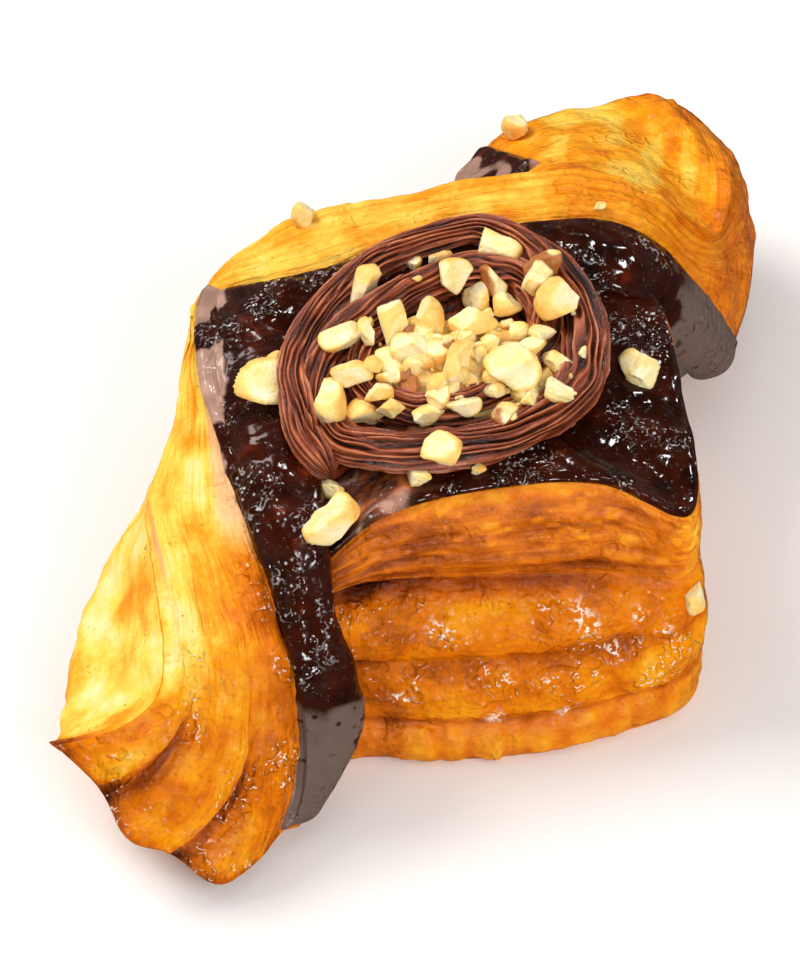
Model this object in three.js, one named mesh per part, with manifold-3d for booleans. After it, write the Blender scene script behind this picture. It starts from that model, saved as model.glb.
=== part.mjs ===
// A small danish pastry: a square of laminated dough with two crossed edge strips, a piped
// chocolate cream rosette on top and chopped hazelnuts. Millimetres, +Z up.
//
// Plan of the fold, seen from above with the front at the bottom:
//
//        back left ____________ back tip (an ear that points back and right)
//                 |  strip_back |
//      strip_left |   rosette   |
//                 |_____________|
//   left tip (fan)     front       front right corner
//
// The block is the base slab with the strip that lies straight on it. The two wings of the upper
// strip start at the back left corner, run along the left and the back edge, twist, and end in tips.

import * as THREE from 'three';
import { ConvexGeometry } from 'three/addons/geometries/ConvexGeometry.js';
import { mergeVertices } from 'three/addons/utils/BufferGeometryUtils.js';
import Module from 'manifold-3d';

const wasm = await Module();
wasm.setup();

// ---------------------------------------------------------------- driving dimensions, mm

const GAP = 0.35; // clear space between two separate pieces
const SKIN = 0.8; // thickness of the chocolate skin
const STAND_OFF = 0.55; // of the skin from the dough below it
const TOP_HEIGHT = 38.6; // middle of the block's top
const CREAM_FLOOR = 37; // the cream starts below the top of the block and is cut to fit it
const STRAND_HEIGHT = 42.4; // middle of the outer piped strand
const INNER_RISE = 0.3; // the inner strand lies this much higher
const STRAND_UPRIGHT = 1.15; // height of a strand's section over its width
const START_DROP = 2.4; // a strand starts this much lower
const END_DROP = 1.2; // and ends this much lower
const DROP_OVER = 0.083; // over this part of its length
const DRAWN_IN = 0.4; // size of a strand's first and last section
const LOOK_AHEAD = 0.01; // part of a path over which its direction is taken
const FLUTES = 5; // ridges that the piping nozzle leaves on a strand
const FLUTE_DEPTH = 0.16; // depth of a flute, part of the strand's radius
const LAYER_DEPTH = 0.55; // relief of the dough layers on a cut side
const LAYERS = 5; // layers that stand out on a cut side
const LOBE_DEPTH = 2.3; // how far each of a tip's three lobes dives below the edge of the next one
const LOBE_EDGES = [[0.38, 0.5], [0.81, 0.83]]; // place of the lobes' edges across the cut side: start, tip
const LOBE_REACH = 0.1; // how far a lobe's slope reaches from its edge
const LOBE_STEP = 0.034; // width of the step at its edge
const DARK_BOW = 1.6; // bulge of the chocolate face of a wing
const CUT_BOW = 1.5; // bulge of its cut side
const ROUNDING = 0.011; // a section's corners are rounded over this part of its girth, each way
const CENTRE = [-17.27, 31.35]; // middle of the finished outline, in the frame of the points below

// Steps of the meshes
const WING_STEPS = 24;
const WING_SIDES = 30;
const BLOCK_SIDES = 26;
const STRAND_STEPS = 20;
const BED_SIDES = 13;
const RUNS = 4; // a wing and a strand are made in this many runs
const NUT_CORNERS = 8;
const NUT_SINK = 0.22; // part of a nut's height that is sunk in what carries it
const NUT_EVENNESS = 0.86; // least distance of a nut's corner from its middle, as part of the ellipsoid's
const NUT_SPREAD = 0.28; // and how much more it can be
const SMALLEST_NUT = 10; // least volume of a nut, mm3; smaller scraps of the cuts are dropped
const FIRST_SEED = 101; // of the nuts' random forms, with a step of
const SEED_STEP = 7;

// Share of a wing's section that each face takes: chocolate face, cut side, inner face, underside
const DARK_END = 0.22;
const CUT_END = 0.58;
const INNER_END = 0.78;
const START_ROUND = 0.07; // part of a wing's length over which its start is rounded
// The left skin also covers the ridge near the wing's start: by that share more, up to there along the
// wing, and drawn back over that length
const WIDER = 0.1;
const WIDE_UNTIL = 0.4;
const WIDE_FADE = 0.3;

// Guide curves of a wing, from the back left corner to the tip. At each station the section's
// corners are darkInner, darkOuter, ridge and rim, in order round it.
const LEFT_WING = {
  darkInner: [[-31, 49, 36], [-31, 28, 38], [-29, 14, 38.3], [-27.8, 1.4, 36.6], [-27.1, -5.6, 29.2],
    [-24.6, -8.6, 22.8], [-23.4, -10.2, 15.4], [-26, -12.4, 8.8], [-30.2, -16.4, 4.4]],
  darkOuter: [[-42.6, 50, 34], [-43, 32, 36.2], [-41.2, 19.4, 36], [-38.4, 5.8, 34.8], [-35, -2.7, 29.8],
    [-32.2, -11.4, 22.9], [-31.8, -14.9, 15.5], [-32.3, -18, 9], [-33.8, -21, 3.6]],
  ridge: [[-43.4, 51, 32.5], [-46.6, 34.4, 33.2], [-48.2, 24, 32.6], [-51.8, 12.6, 30.8], [-50.4, -0.2, 31],
    [-49.6, -10.6, 30.6], [-50.2, -17.2, 28], [-55.8, -20.2, 24.5], [-64.2, -19.2, 20]],
  rim: [[-43.8, 50.6, 25], [-47.2, 34, 23], [-52.5, 24, 18], [-58.4, 14.5, 15], [-61.8, 5, 14.5],
    [-63.4, -6, 16], [-64.2, -14, 18], [-64.4, -17.6, 19], [-64.4, -19, 19.4]],
  footHeight: [20, 18, 11, 5, 3, 3, 5, 10, 15.5],
  innerBow: [0, -0.6, -1.1, -1.5, -1.6, -1.5, -1.1, -0.6, 0],
  lobes: 1,
  tipEdge: [[-33.8, -21, 3.6], [-37.2, -25.9, 2.8], [-42.8, -30.6, 2.6], [-47.8, -27.2, 6.5],
    [-55, -29, 11], [-57, -23.6, 14.5], [-64.2, -19.2, 20]],
};
const BACK_WING = {
  darkInner: [[-42, 36, 34], [-27, 34, 38.3], [-11, 38, 39.3], [4, 41.8, 39.8], [9, 42.9, 39.2],
    [13.6, 42.9, 36], [17.6, 45.6, 25.6], [19.8, 48.8, 17.6], [22.6, 53.4, 9.4]],
  darkOuter: [[-46, 45, 34], [-29, 46.4, 38.6], [-14, 51.2, 39.8], [1.3, 53.5, 40.1], [8.7, 54, 39.8],
    [15.3, 53.6, 36.8], [21.1, 53.4, 28.4], [24.4, 54.4, 20.5], [26.6, 56.4, 11]],
  ridge: [[-45, 50.5, 31.5], [-30.5, 57.6, 36.2], [-17.5, 60.6, 37], [-0.7, 63.6, 38.4], [7.3, 63.6, 38.6],
    [15.6, 61.6, 36], [23.6, 61, 30], [24, 77, 26.5], [18.8, 92.8, 20]],
  rim: [[-46.5, 51, 25], [-31, 62.4, 25], [-20, 69.5, 23], [-11, 81, 17.5], [-5.6, 88.6, 18.2],
    [0.6, 91.8, 19.5], [8.2, 94.2, 20], [14, 94.4, 20], [18.4, 93, 19.5]],
  footHeight: [20, 18, 15, 10, 8, 7, 6, 8, 14],
  innerBow: [0, 0.2, -0.8, -2, 0.6, 2, 2.2, 1.6, 0],
  lobes: 0.2, // the ear's lobes are hardly parted
  tipEdge: [[26.6, 56.4, 11], [28.7, 67.4, 8], [29.4, 78.6, 7.8], [27.9, 82.6, 10.5],
    [26, 87.6, 15], [23.4, 89.6, 17], [18.8, 92.8, 20]],
};
const TIP_EDGE_AT = [0, 0.15, 0.32, 0.46, 0.66, 0.8, 1]; // places of the tip's lobes along the cut side

const EAR_PATCH = { steps: [9, 11], sides: [20, 23] }; // place of the dark patch on the ear

// Outline of the block, from the front left corner round to the right: at the floor, at the top,
// the height of the crease between the base slab and the strip on it, the height of the top edge, and
// how far the side bulges
const BLOCK_FLOOR = [[-32, -3], [-19, -5.6], [-5, -5.6], [9, -2.2], [21.4, 5.6], [19.6, 26],
  [16, 49], [-4, 50], [-38, 46], [-38, 20]];
const BLOCK_TOP = [[-35, -1], [-20.5, 4], [-5, 7.2], [9, 8.3], [20.8, 6.4], [19.6, 27],
  [14, 47], [-4, 48], [-40, 45], [-40, 20]];
const BLOCK_CREASE = [27.5, 27, 25.5, 24.8, 24.4, 24, 24, 24, 25, 27];
const BLOCK_EDGE = [29, 37.4, 39.4, 39.4, 36, 36.6, 36, 37, 34, 34];
const BLOCK_BULGE = [0.8, 1, 1, 0.85, 0.2, 0.2, 0.3, 0.5, 0.4, 0.4];

// Side of the block from the floor (0) over the crease (1) to the top edge (2), and how far the side
// stands out there: a thin lip, two rolls, the crease, and the cut side of the strip above it.
const SIDE_LEVEL = [0, 0.04, 0.12, 0.2, 0.27, 0.35, 0.46, 0.57, 0.66, 0.73, 0.82, 0.91, 0.97, 1, 1.09, 1.29,
  1.54, 1.75, 1.9, 2];
const SIDE_OUT = [-0.4, 1.4, 2.3, 2.2, 1.2, 3.0, 4.0, 3.8, 2.2, 3.8, 4.6, 3.2, 0.6, -2.2, -0.6, 0.7,
  1.1, 1.0, 0.5, -0.9];
const TOP_RINGS = [0.9, 0.45];

// Middle lines of the two piped strands, in plan, with the strand's radius
const OUTER_PATH = [[-27.2, 10.2, 2], [-30.4, 14.6, 2.3], [-31.6, 20.8, 2.4], [-32, 26.4, 2.4],
  [-30.4, 32.2, 2.3], [-26.6, 38.4, 2.3], [-21.2, 44.2, 2.3], [-14.6, 48.2, 2.3], [-7.3, 50, 2.4],
  [-0.6, 46.6, 2.6], [3.6, 41, 3], [6, 34.6, 3.4], [6.3, 27.6, 3.4], [4.6, 21.6, 3.1], [0, 16.8, 2.8],
  [-6, 13.4, 2.7], [-13, 12, 2.7], [-19.6, 12, 2.7], [-25, 13.8, 2.5], [-27.2, 18.6, 2.2]];
const INNER_PATH = [[-29.6, 17, 1.9], [-29.2, 23.4, 2.3], [-26.4, 30, 2.6], [-20.8, 36, 2.6],
  [-14.6, 40.4, 2.6], [-7.4, 43.4, 2.6], [-1, 41, 2.6], [1.6, 34.6, 2.6], [0.8, 28, 2.6], [-3, 22.4, 2.6],
  [-9.4, 19, 2.6], [-16.4, 18.4, 2.6], [-22, 21.6, 2.6], [-22.4, 27.6, 2.6], [-17.4, 31.2, 2.5],
  [-10.6, 31.4, 2.2]];
const BED_MIDDLE = [-11.5, 29]; // of the cream below the strands
// Rings of that bed from its underside to its top: size as part of the outer path, and height
const BED_RINGS = [[0.9, CREAM_FLOOR], [1, CREAM_FLOOR + 1], [1, 39], [0.92, 40.1], [0.45, 40.7]];

// Chopped hazelnuts: middle x and y, length, width, height, turn in degrees, and how far one lies above
// what carries it, as part of its height. Those in the middle of the rosette touch and are one heap.
const NUTS = [
  [-25.2, 28.8, 6.4, 3.6, 3.8, 25, 0.1], [-22.3, 28.4, 2.6, 4.2, 3.2, 10, 0.1],
  [-18.5, 30, 4.6, 7.4, 4.4, 12, 0.05], [-14.3, 31.6, 3.8, 6.2, 4.2, 15, 0.05],
  [-11.1, 39.7, 5.2, 4.4, 4, 35, 0.1], [-7.5, 39, 4, 4, 3.2, 60, 0.1], [-3.7, 37, 4.2, 4, 3.6, 30, 0.15],
  [-5.3, 46.2, 5.4, 6.2, 4.6, 60, 0.05], [-13.1, 44.9, 3.6, 2.4, 2.4, 0, 0.1],
  [-16.3, 44.5, 2, 1.7, 1.6, 10, 0.1], [1.3, 41.1, 4.8, 4.4, 3.8, 15, 0.15],
  [0.5, 37.5, 5.2, 4.6, 4.2, 20, 0.15], [3.7, 34.4, 6.4, 6.2, 5.2, 50, 0.1],
  [-22.7, 39.2, 7.6, 5, 5, 50, 0.1], [-36.1, 24.3, 8.2, 6.4, 4.8, -5, 0.05],
  [-34.4, 28.4, 2.6, 2.2, 2.4, 40, 0.3], [-24.4, 22.2, 4.6, 3.4, 3.4, -10, 0.1],
  [-27.9, 18.4, 4.6, 7.6, 4.6, 8, 0.1], [-22.5, 18.2, 5.4, 4.2, 3.8, 20, 0.1],
  [-20.9, 18.9, 3.4, 3, 3, 0, 0.1], [-19.2, 17, 3.6, 3.2, 3.2, 50, 0.1],
  [-16.4, 25.9, 6.4, 4.6, 4.4, -15, 0.05], [-19.3, 24, 3.6, 4.6, 3.4, 20, 0.1],
  [-10.3, 22.1, 7.6, 6.4, 5, 70, 0.05], [-3.3, 23.2, 6.2, 9.2, 5.4, 8, 0],
  [-8.7, 30.2, 7.2, 4.2, 4.2, 10, 0.05], [-0.9, 27.3, 3.6, 3.2, 3.2, 10, 0.05],
  [0.7, 28.8, 3.4, 3.4, 3.2, 70, 0.05], [-2.4, 29.2, 3, 2.8, 2.8, 40, 0.05],
  [2.5, 25.1, 6.4, 3.4, 3.6, -45, 0.05], [2.9, 18.8, 5.8, 2.6, 3, -40, 0.05],
  [-1.1, 20.1, 3.6, 3.4, 3, 30, 0.1], [-12.7, 26.2, 3.8, 3.4, 3.4, 15, 0.05],
  [-13.1, 18.2, 4, 3, 3, 70, 0.1], [-9.7, 17.1, 4.2, 2.8, 2.8, 10, 0.1],
  [-14, 16.1, 5.6, 2.6, 2.6, 20, 0.05], [-3.9, 15.3, 3.4, 3, 2.8, 10, 0.1],
  [-16.5, 20.8, 2.6, 2.8, 2, 20, 0.2], [-15.7, 15.6, 4.6, 2.6, 2.2, 30, 0.2],
  [-12.7, 9.5, 5.8, 5.2, 4.4, 30, 0.1], [-15.3, 8.8, 3.2, 5.2, 3, 12, 0.1],
  [-7.9, 9.8, 2.2, 1.6, 1.6, 0, 0.1], [-27.2, 3.1, 7.2, 6.8, 6.4, 80, 0.45],
  [-26.8, 9.3, 2.8, 3.4, 3.2, 20, 0.9], [13.9, 28.6, 4.9, 6, 3.4, 8, 0.1],
  [-2, 84.7, 3.8, 3.4, 4, 20, 0.1], [-30.7, 55.7, 3.2, 2.8, 3.2, 0, 0.1],
  [-5.6, 40.8, 3.2, 4.6, 2.8, 20, 0.1], [8.7, 55.2, 2, 1.3, 1, 10, 0.2],
];
// A nut that sticks to the right side of the block
const SIDE_NUT = { place: [20.9, 5, 21], size: [4.2, 3.8, 4.6], turn: 90, seed: 977 };
// The nut heap's core: a low mound in the middle of the rosette
const HEAP_PLACE = [-9.5, 25.6, 42.2];
const HEAP_SIZE = [12.5, 8.2, 3.4];

// ---------------------------------------------------------------- small helpers

const lerp = (a, b, s) => a.map((v, k) => v + (b[k] - v) * s);
const add = (a, b, s = 1) => a.map((v, k) => v + b[k] * s);
const clamp01 = (s) => Math.min(1, Math.max(0, s));
const smooth = (s) => clamp01(s) ** 2 * (3 - 2 * clamp01(s));

// Uniform Catmull-Rom curve through the rows of a list, at t from 0 to 1; closed runs round once.
function through(rows, t, closed = false) {
  const spans = closed ? rows.length : rows.length - 1;
  const place = closed ? (((t % 1) + 1) % 1) * spans : clamp01(t) * spans;
  const i = Math.min(Math.floor(place), spans - 1);
  const f = place - i;
  const row = (k) => {
    const j = closed ? (k + rows.length) % rows.length : Math.min(Math.max(k, 0), rows.length - 1);
    return [rows[j]].flat();
  };
  const [a, b, c, d] = [row(i - 1), row(i), row(i + 1), row(i + 2)];
  return b.map((v, k) => v + 0.5 * f * (c[k] - a[k]
    + f * (2 * a[k] - 5 * v + 4 * c[k] - d[k] + f * (3 * (v - c[k]) + d[k] - a[k]))));
}

// Straight lines between unevenly placed rows
function between(places, rows, s) {
  let i = 0;
  while (i < places.length - 2 && s > places[i + 1]) i += 1;
  return lerp([rows[i]].flat(), [rows[i + 1]].flat(), clamp01((s - places[i]) / (places[i + 1] - places[i])));
}

// Closed mesh from rings of points: each ring is joined to the next, and both ends get a middle point.
function ringSolid(rings) {
  const sides = rings[0].length;
  const points = rings.flat();
  const faces = [];
  for (let i = 0; i < rings.length - 1; i += 1) {
    for (let j = 0; j < sides; j += 1) {
      const a = i * sides + j;
      const b = i * sides + ((j + 1) % sides);
      faces.push([a, b, b + sides], [a, b + sides, a + sides]);
    }
  }
  [[rings[0], 0, true], [rings.at(-1), (rings.length - 1) * sides, false]].forEach(([ring, first, start]) => {
    const middle = ring.reduce((sum, p) => add(sum, p, 1 / sides), [0, 0, 0]);
    points.push(middle);
    for (let j = 0; j < sides; j += 1) {
      const a = first + j;
      const b = first + ((j + 1) % sides);
      faces.push(start ? [b, a, points.length - 1] : [a, b, points.length - 1]);
    }
  });
  return solid(points, faces);
}

// The same in several runs that are joined, for a form that comes back to touch itself
function joinedRings(rings, runs) {
  const step = (rings.length - 1) / runs;
  let body = null;
  for (let k = 0; k < runs; k += 1) {
    const run = ringSolid(rings.slice(Math.round(k * step), Math.round((k + 1) * step) + 1));
    body = body ? body.add(run) : run;
  }
  return body;
}

// A manifold from points and faces, with its faces turned outwards
function solid(points, faces) {
  let volume = 0;
  faces.forEach(([a, b, c]) => {
    const [p, q, r] = [a, b, c].map((k) => new THREE.Vector3(...points[k]));
    volume += p.dot(q.cross(r));
  });
  const turned = volume < 0 ? faces.map(([a, b, c]) => [a, c, b]) : faces;
  return new wasm.Manifold(new wasm.Mesh({
    numProp: 3,
    vertProperties: Float32Array.from(points.flat()),
    triVerts: Uint32Array.from(turned.flat()),
  }));
}

function fromGeometry(geometry) {
  const bare = geometry.clone();
  bare.deleteAttribute('normal');
  bare.deleteAttribute('uv');
  const merged = mergeVertices(bare, 1e-4);
  return new wasm.Manifold(new wasm.Mesh({
    numProp: 3,
    vertProperties: Float32Array.from(merged.attributes.position.array),
    triVerts: Uint32Array.from(merged.index.array),
  }));
}

function toMesh(name, body, colour, roughness) {
  const data = body.getMesh();
  const geometry = new THREE.BufferGeometry();
  geometry.setAttribute('position', new THREE.BufferAttribute(Float32Array.from(data.vertProperties), 3));
  geometry.setIndex(Array.from(data.triVerts));
  geometry.computeVertexNormals();
  const material = new THREE.MeshStandardMaterial({ color: colour, roughness, metalness: 0 });
  const mesh = new THREE.Mesh(geometry, material);
  mesh.name = name;
  return mesh;
}

// The body moved a little each way: what lies inside it is less than the gap away from the body
function grown(body, gap = GAP) {
  const moves = [[gap, gap, gap], [-gap, -gap, gap], [-gap, gap, -gap], [gap, -gap, -gap]];
  return moves.reduce((sum, move) => sum.add(body.translate(move)), body);
}

// A body together with a copy raised by the gap, to cut out of what lies on it
function raised(body) {
  return body.add(body.translate([0, 0, GAP]));
}

// The same points and faces as a new body, whose later cuts are exact
function exact(body) {
  const { vertProperties, triVerts } = body.getMesh();
  return new wasm.Manifold(new wasm.Mesh({ numProp: 3, vertProperties, triVerts }));
}

// The largest connected part of a body, without loose scraps
function largest(body) {
  return body.decompose().reduce((best, part) => (part.volume() > best.volume() ? part : best));
}

// Random numbers from 0 to 1 that are the same at each run
function draws(seed) {
  let state = seed;
  return () => {
    state = (state * 16807) % 2147483647;
    return state / 2147483647;
  };
}

// ---------------------------------------------------------------- dough: wings

// A face of a wing's section from corner p to corner q, bowed away from the section's middle
function face(p, q, s, bow, middle) {
  const along = new THREE.Vector3(...q).sub(new THREE.Vector3(...p)).normalize();
  const out = new THREE.Vector3(...lerp(p, q, 0.5)).sub(new THREE.Vector3(...middle));
  out.addScaledVector(along, -out.dot(along)).normalize();
  return add(lerp(p, q, s), out.toArray(), bow * Math.sin(Math.PI * s));
}

// Height of a tip's three lobes: each one dives below the edge of the next, which stands up as a step.
function lobes(t, s) {
  const total = LOBE_EDGES.reduce((sum, [start, end]) => {
    const u = s - (start + (end - start) * smooth((t - 0.78) / 0.22));
    const below = -Math.exp(Math.min(u, 0) / LOBE_REACH);
    const above = 0.5 * Math.exp(-Math.max(u, 0) / LOBE_REACH);
    return sum + below + (above - below) * smooth(u / LOBE_STEP + 0.5);
  }, 0);
  return total * smooth((t - 0.6) / 0.25);
}

// The cut side from the chocolate's edge b (s = 0) to the ridge c (s = 1): layers are waves across it,
// the tip is parted into lobes, and the last third swings out to the tip's own edge.
function cutSide(wing, t, s, b, c, middle) {
  const calm = 1 - 0.6 * smooth((t - 0.6) / 0.2);
  const layers = Math.sin(Math.PI * (2 * LAYERS * s - 0.5) + 0.8 * Math.sin(9 * t)) * calm;
  const fade = Math.min(1, 6 * s, 6 * (1 - s));
  const relief = (LAYER_DEPTH * layers + LOBE_DEPTH * wing.lobes * lobes(t, s)) * fade;
  const plain = face(b, c, s, CUT_BOW, middle);
  const full = face(b, c, s, (CUT_BOW + relief) / Math.max(Math.sin(Math.PI * s), 0.2), middle);
  const edge = between(TIP_EDGE_AT, wing.tipEdge, s);
  const straight = lerp(wing.darkOuter.at(-1), wing.ridge.at(-1), s);
  const relieved = add(plain, add(full, plain, -1), 1 - 0.4 * smooth((t - 0.9) / 0.1));
  return add(relieved, add(edge, straight, -1), smooth((t - 0.66) / 0.34));
}

// Point of a wing's section polygon: t from the back left corner to the tip, q round the section
function wingCorner(wing, t, q) {
  const a = through(wing.darkInner, t);
  const b = through(wing.darkOuter, t);
  const c = through(wing.ridge, t);
  const d = through(wing.rim, t);
  const foot = through(wing.footHeight, t)[0];
  const middle = wingMiddle(wing, t);
  const turn = ((q % 1) + 1) % 1;
  if (turn < DARK_END) return face(a, b, turn / DARK_END, DARK_BOW, middle);
  if (turn < CUT_END) return cutSide(wing, t, (turn - DARK_END) / (CUT_END - DARK_END), b, c, middle);
  if (turn < INNER_END) {
    return face(c, d, (turn - CUT_END) / (INNER_END - CUT_END), through(wing.innerBow, t)[0], middle);
  }
  const s = (3 * (turn - INNER_END)) / (1 - INNER_END);
  const outerFoot = lerp(d, a, 0.16);
  const innerFoot = lerp(d, a, 0.88);
  outerFoot[2] = Math.min(foot, d[2] - 1);
  innerFoot[2] = Math.max(1, Math.min(foot, a[2] - 2));
  if (s < 1) return lerp(d, outerFoot, s);
  if (s < 2) return lerp(outerFoot, innerFoot, s - 1);
  return lerp(innerFoot, a, s - 2);
}

// Middle of a wing's section
function wingMiddle(wing, t) {
  const corners = [wing.darkInner, wing.darkOuter, wing.ridge, wing.rim].map((rows) => through(rows, t));
  return corners.reduce((sum, p) => add(sum, p, 0.25), [0, 0, -2]);
}

// The polygon with its corners rounded, as the mean of five places near q, and a round start
function wingPoint(wing, t, q) {
  const near = [-2, -1, 0, 1, 2].map((k) => wingCorner(wing, t, q + ROUNDING * k));
  const here = near.reduce((sum, p) => add(sum, p, 1 / near.length), [0, 0, 0]);
  const start = 1 - clamp01(t / START_ROUND);
  return lerp(wingMiddle(wing, t), here, Math.sqrt(1 - 0.96 * start * start));
}

function wingBody(wing) {
  const rings = [];
  for (let i = 0; i <= WING_STEPS; i += 1) {
    const ring = [];
    for (let j = 0; j < WING_SIDES; j += 1) ring.push(wingPoint(wing, i / WING_STEPS, j / WING_SIDES));
    rings.push(ring);
  }
  return joinedRings(rings, RUNS);
}

// A thin closed skin over part of a wing, between two of its steps and two of its sides; near the wing's
// start it can be wider, by that part of the section's girth
function wingSkin(wing, [i0, i1], [j0, j1], wider = 0) {
  const t = (u) => (i0 + (i1 - i0) * u) / WING_STEPS;
  const q = (u, v) => (j0 + (j1 - j0) * v) / WING_SIDES + v * wider * smooth((WIDE_UNTIL - t(u)) / WIDE_FADE);
  return skin(i1 - i0, j1 - j0, (u, v) => wingPoint(wing, t(u), q(u, v)), (u) => wingMiddle(wing, t(u)));
}

// A thin closed shell over the surface at(u, v), on the side away from inside(u, v). With ring, the
// surface runs round and its last column of points is its first.
function skin(uSteps, vSteps, at, inside, ring = false) {
  const low = [];
  const high = [];
  const eps = 1e-3;
  for (let i = 0; i < (ring ? uSteps : uSteps + 1); i += 1) {
    for (let j = 0; j <= vSteps; j += 1) {
      const [u, v] = [i / uSteps, j / vSteps];
      const p = new THREE.Vector3(...at(u, v));
      const du = new THREE.Vector3(...at(u + eps, v)).sub(new THREE.Vector3(...at(u - eps, v)));
      const dv = new THREE.Vector3(...at(u, v + eps)).sub(new THREE.Vector3(...at(u, v - eps)));
      const out = du.cross(dv).normalize();
      if (out.dot(p.clone().sub(new THREE.Vector3(...inside(u, v)))) < 0) out.negate();
      low.push(p.clone().addScaledVector(out, STAND_OFF).toArray());
      high.push(p.clone().addScaledVector(out, STAND_OFF + SKIN).toArray());
    }
  }
  const count = low.length;
  const id = (i, j) => (i % (ring ? uSteps : uSteps + 1)) * (vSteps + 1) + j;
  const faces = [];
  for (let i = 0; i < uSteps; i += 1) {
    for (let j = 0; j < vSteps; j += 1) {
      const [a, b, c, d] = [id(i, j), id(i, j + 1), id(i + 1, j + 1), id(i + 1, j)];
      faces.push([a, b, c], [a, c, d]);
      faces.push([count + a, count + c, count + b], [count + a, count + d, count + c]);
    }
  }
  const wall = (a, b) => faces.push([b, a, count + a], [b, count + a, count + b]);
  for (let i = 0; i < uSteps; i += 1) {
    wall(id(i + 1, 0), id(i, 0));
    wall(id(i, vSteps), id(i + 1, vSteps));
  }
  for (let j = 0; j < vSteps && !ring; j += 1) {
    wall(id(0, j), id(0, j + 1));
    wall(id(uSteps, j + 1), id(uSteps, j));
  }
  return solid([...low, ...high], faces);
}

// ---------------------------------------------------------------- dough: block

const BLOCK_MIDDLE = [-10, 27];

// Point on the side of the block: q round it, level from the floor (0) to the top edge (2)
function blockSide(q, level) {
  const edge = through(BLOCK_EDGE, q, true)[0];
  const crease = through(BLOCK_CREASE, q, true)[0];
  const z = crease * Math.min(level, 1) + (edge - crease) * Math.max(level - 1, 0);
  const here = lerp(through(BLOCK_FLOOR, q, true), through(BLOCK_TOP, q, true), z / edge);
  const out = [here[0] - BLOCK_MIDDLE[0], here[1] - BLOCK_MIDDLE[1]];
  const length = Math.hypot(...out);
  const stand = between(SIDE_LEVEL, SIDE_OUT, level)[0] * through(BLOCK_BULGE, q, true)[0];
  return [here[0] + (out[0] / length) * stand, here[1] + (out[1] / length) * stand, z];
}

// Point on the top of the block: ring is 1 at the edge and 0 in the middle
function blockTop(q, ring) {
  const here = lerp([...BLOCK_MIDDLE, TOP_HEIGHT], blockSide(q, 2), ring);
  here[2] += 0.6 * Math.sin(Math.PI * ring);
  return here;
}

function blockBody() {
  const rings = [];
  const ringAt = (point) => {
    const ring = [];
    for (let j = 0; j < BLOCK_SIDES; j += 1) ring.push(point(j / BLOCK_SIDES));
    return ring;
  };
  rings.push(ringAt((q) => lerp([...BLOCK_MIDDLE, 0], blockSide(q, 0), 0.5)));
  SIDE_LEVEL.forEach((level) => rings.push(ringAt((q) => blockSide(q, level))));
  TOP_RINGS.forEach((ring) => rings.push(ringAt((q) => blockTop(q, ring))));
  return ringSolid(rings);
}

// ---------------------------------------------------------------- cream

// A fluted strand along a plan path that also gives its radius; both its ends are drawn in and lie lower
function strand(path, height) {
  const sides = 2 * FLUTES;
  const rings = [];
  for (let i = 0; i <= STRAND_STEPS; i += 1) {
    const t = i / STRAND_STEPS;
    const [x, y, radius] = through(path, t);
    const ahead = add(through(path, t + LOOK_AHEAD), through(path, t - LOOK_AHEAD), -1);
    const length = Math.hypot(ahead[0], ahead[1]);
    const side = [ahead[1] / length, -ahead[0] / length];
    const start = 1 - clamp01(t / DROP_OVER);
    const end = 1 - clamp01((1 - t) / DROP_OVER);
    const level = height - START_DROP * start - END_DROP * end;
    const drawnIn = i === 0 || i === STRAND_STEPS ? DRAWN_IN : 1;
    const ring = [];
    for (let j = 0; j < sides; j += 1) {
      const turn = (2 * Math.PI * j) / sides;
      const r = radius * drawnIn * (j % 2 ? 1 - FLUTE_DEPTH : 1);
      const across = r * Math.cos(turn);
      ring.push([x + side[0] * across, y + side[1] * across, level + STRAND_UPRIGHT * r * Math.sin(turn)]);
    }
    rings.push(ring);
  }
  return joinedRings(rings, RUNS);
}

// The bed of cream below the strands, as a low dish
function creamBed() {
  const rings = BED_RINGS.map(([size, z]) => {
    const ring = [];
    for (let j = 0; j < BED_SIDES; j += 1) {
      const edge = through(OUTER_PATH, j / BED_SIDES, true);
      ring.push([...lerp(BED_MIDDLE, edge, size), z]);
    }
    return ring;
  });
  return ringSolid(rings);
}

// ---------------------------------------------------------------- nuts

// A chopped nut: the hull of points spread over an ellipsoid, pushed in and out at random
function nut([length, width, height], turn, seed) {
  const next = draws(seed);
  const points = [];
  for (let k = 0; k < NUT_CORNERS; k += 1) {
    const z = 1 - (2 * (k + 0.5)) / NUT_CORNERS;
    const angle = k * 2.399963 + 0.7 * next();
    const r = Math.sqrt(1 - z * z);
    const size = 0.5 * (NUT_EVENNESS + NUT_SPREAD * next());
    points.push(new THREE.Vector3(length * size * r * Math.cos(angle), width * size * r * Math.sin(angle),
      height * size * z));
  }
  const geometry = new ConvexGeometry(points);
  geometry.rotateZ(THREE.MathUtils.degToRad(turn));
  return fromGeometry(geometry);
}

// A body as a mesh that rays can hit
function target(body) {
  const data = body.getMesh();
  const geometry = new THREE.BufferGeometry();
  geometry.setAttribute('position', new THREE.BufferAttribute(Float32Array.from(data.vertProperties), 3));
  geometry.setIndex(Array.from(data.triVerts));
  return new THREE.Mesh(geometry, new THREE.MeshBasicMaterial({ side: THREE.DoubleSide }));
}

// A nut sunk a little into what lies below it
function nutOn(surface, [x, y, length, width, height, turn, lift], seed) {
  const ray = new THREE.Raycaster(new THREE.Vector3(x, y, 200), new THREE.Vector3(0, 0, -1));
  const z = ray.intersectObject(surface)[0].point.z;
  return nut([length, width, height], turn, seed).translate([x, y, z + (0.5 - NUT_SINK + lift) * height]);
}

// ---------------------------------------------------------------- the pastry

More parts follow.
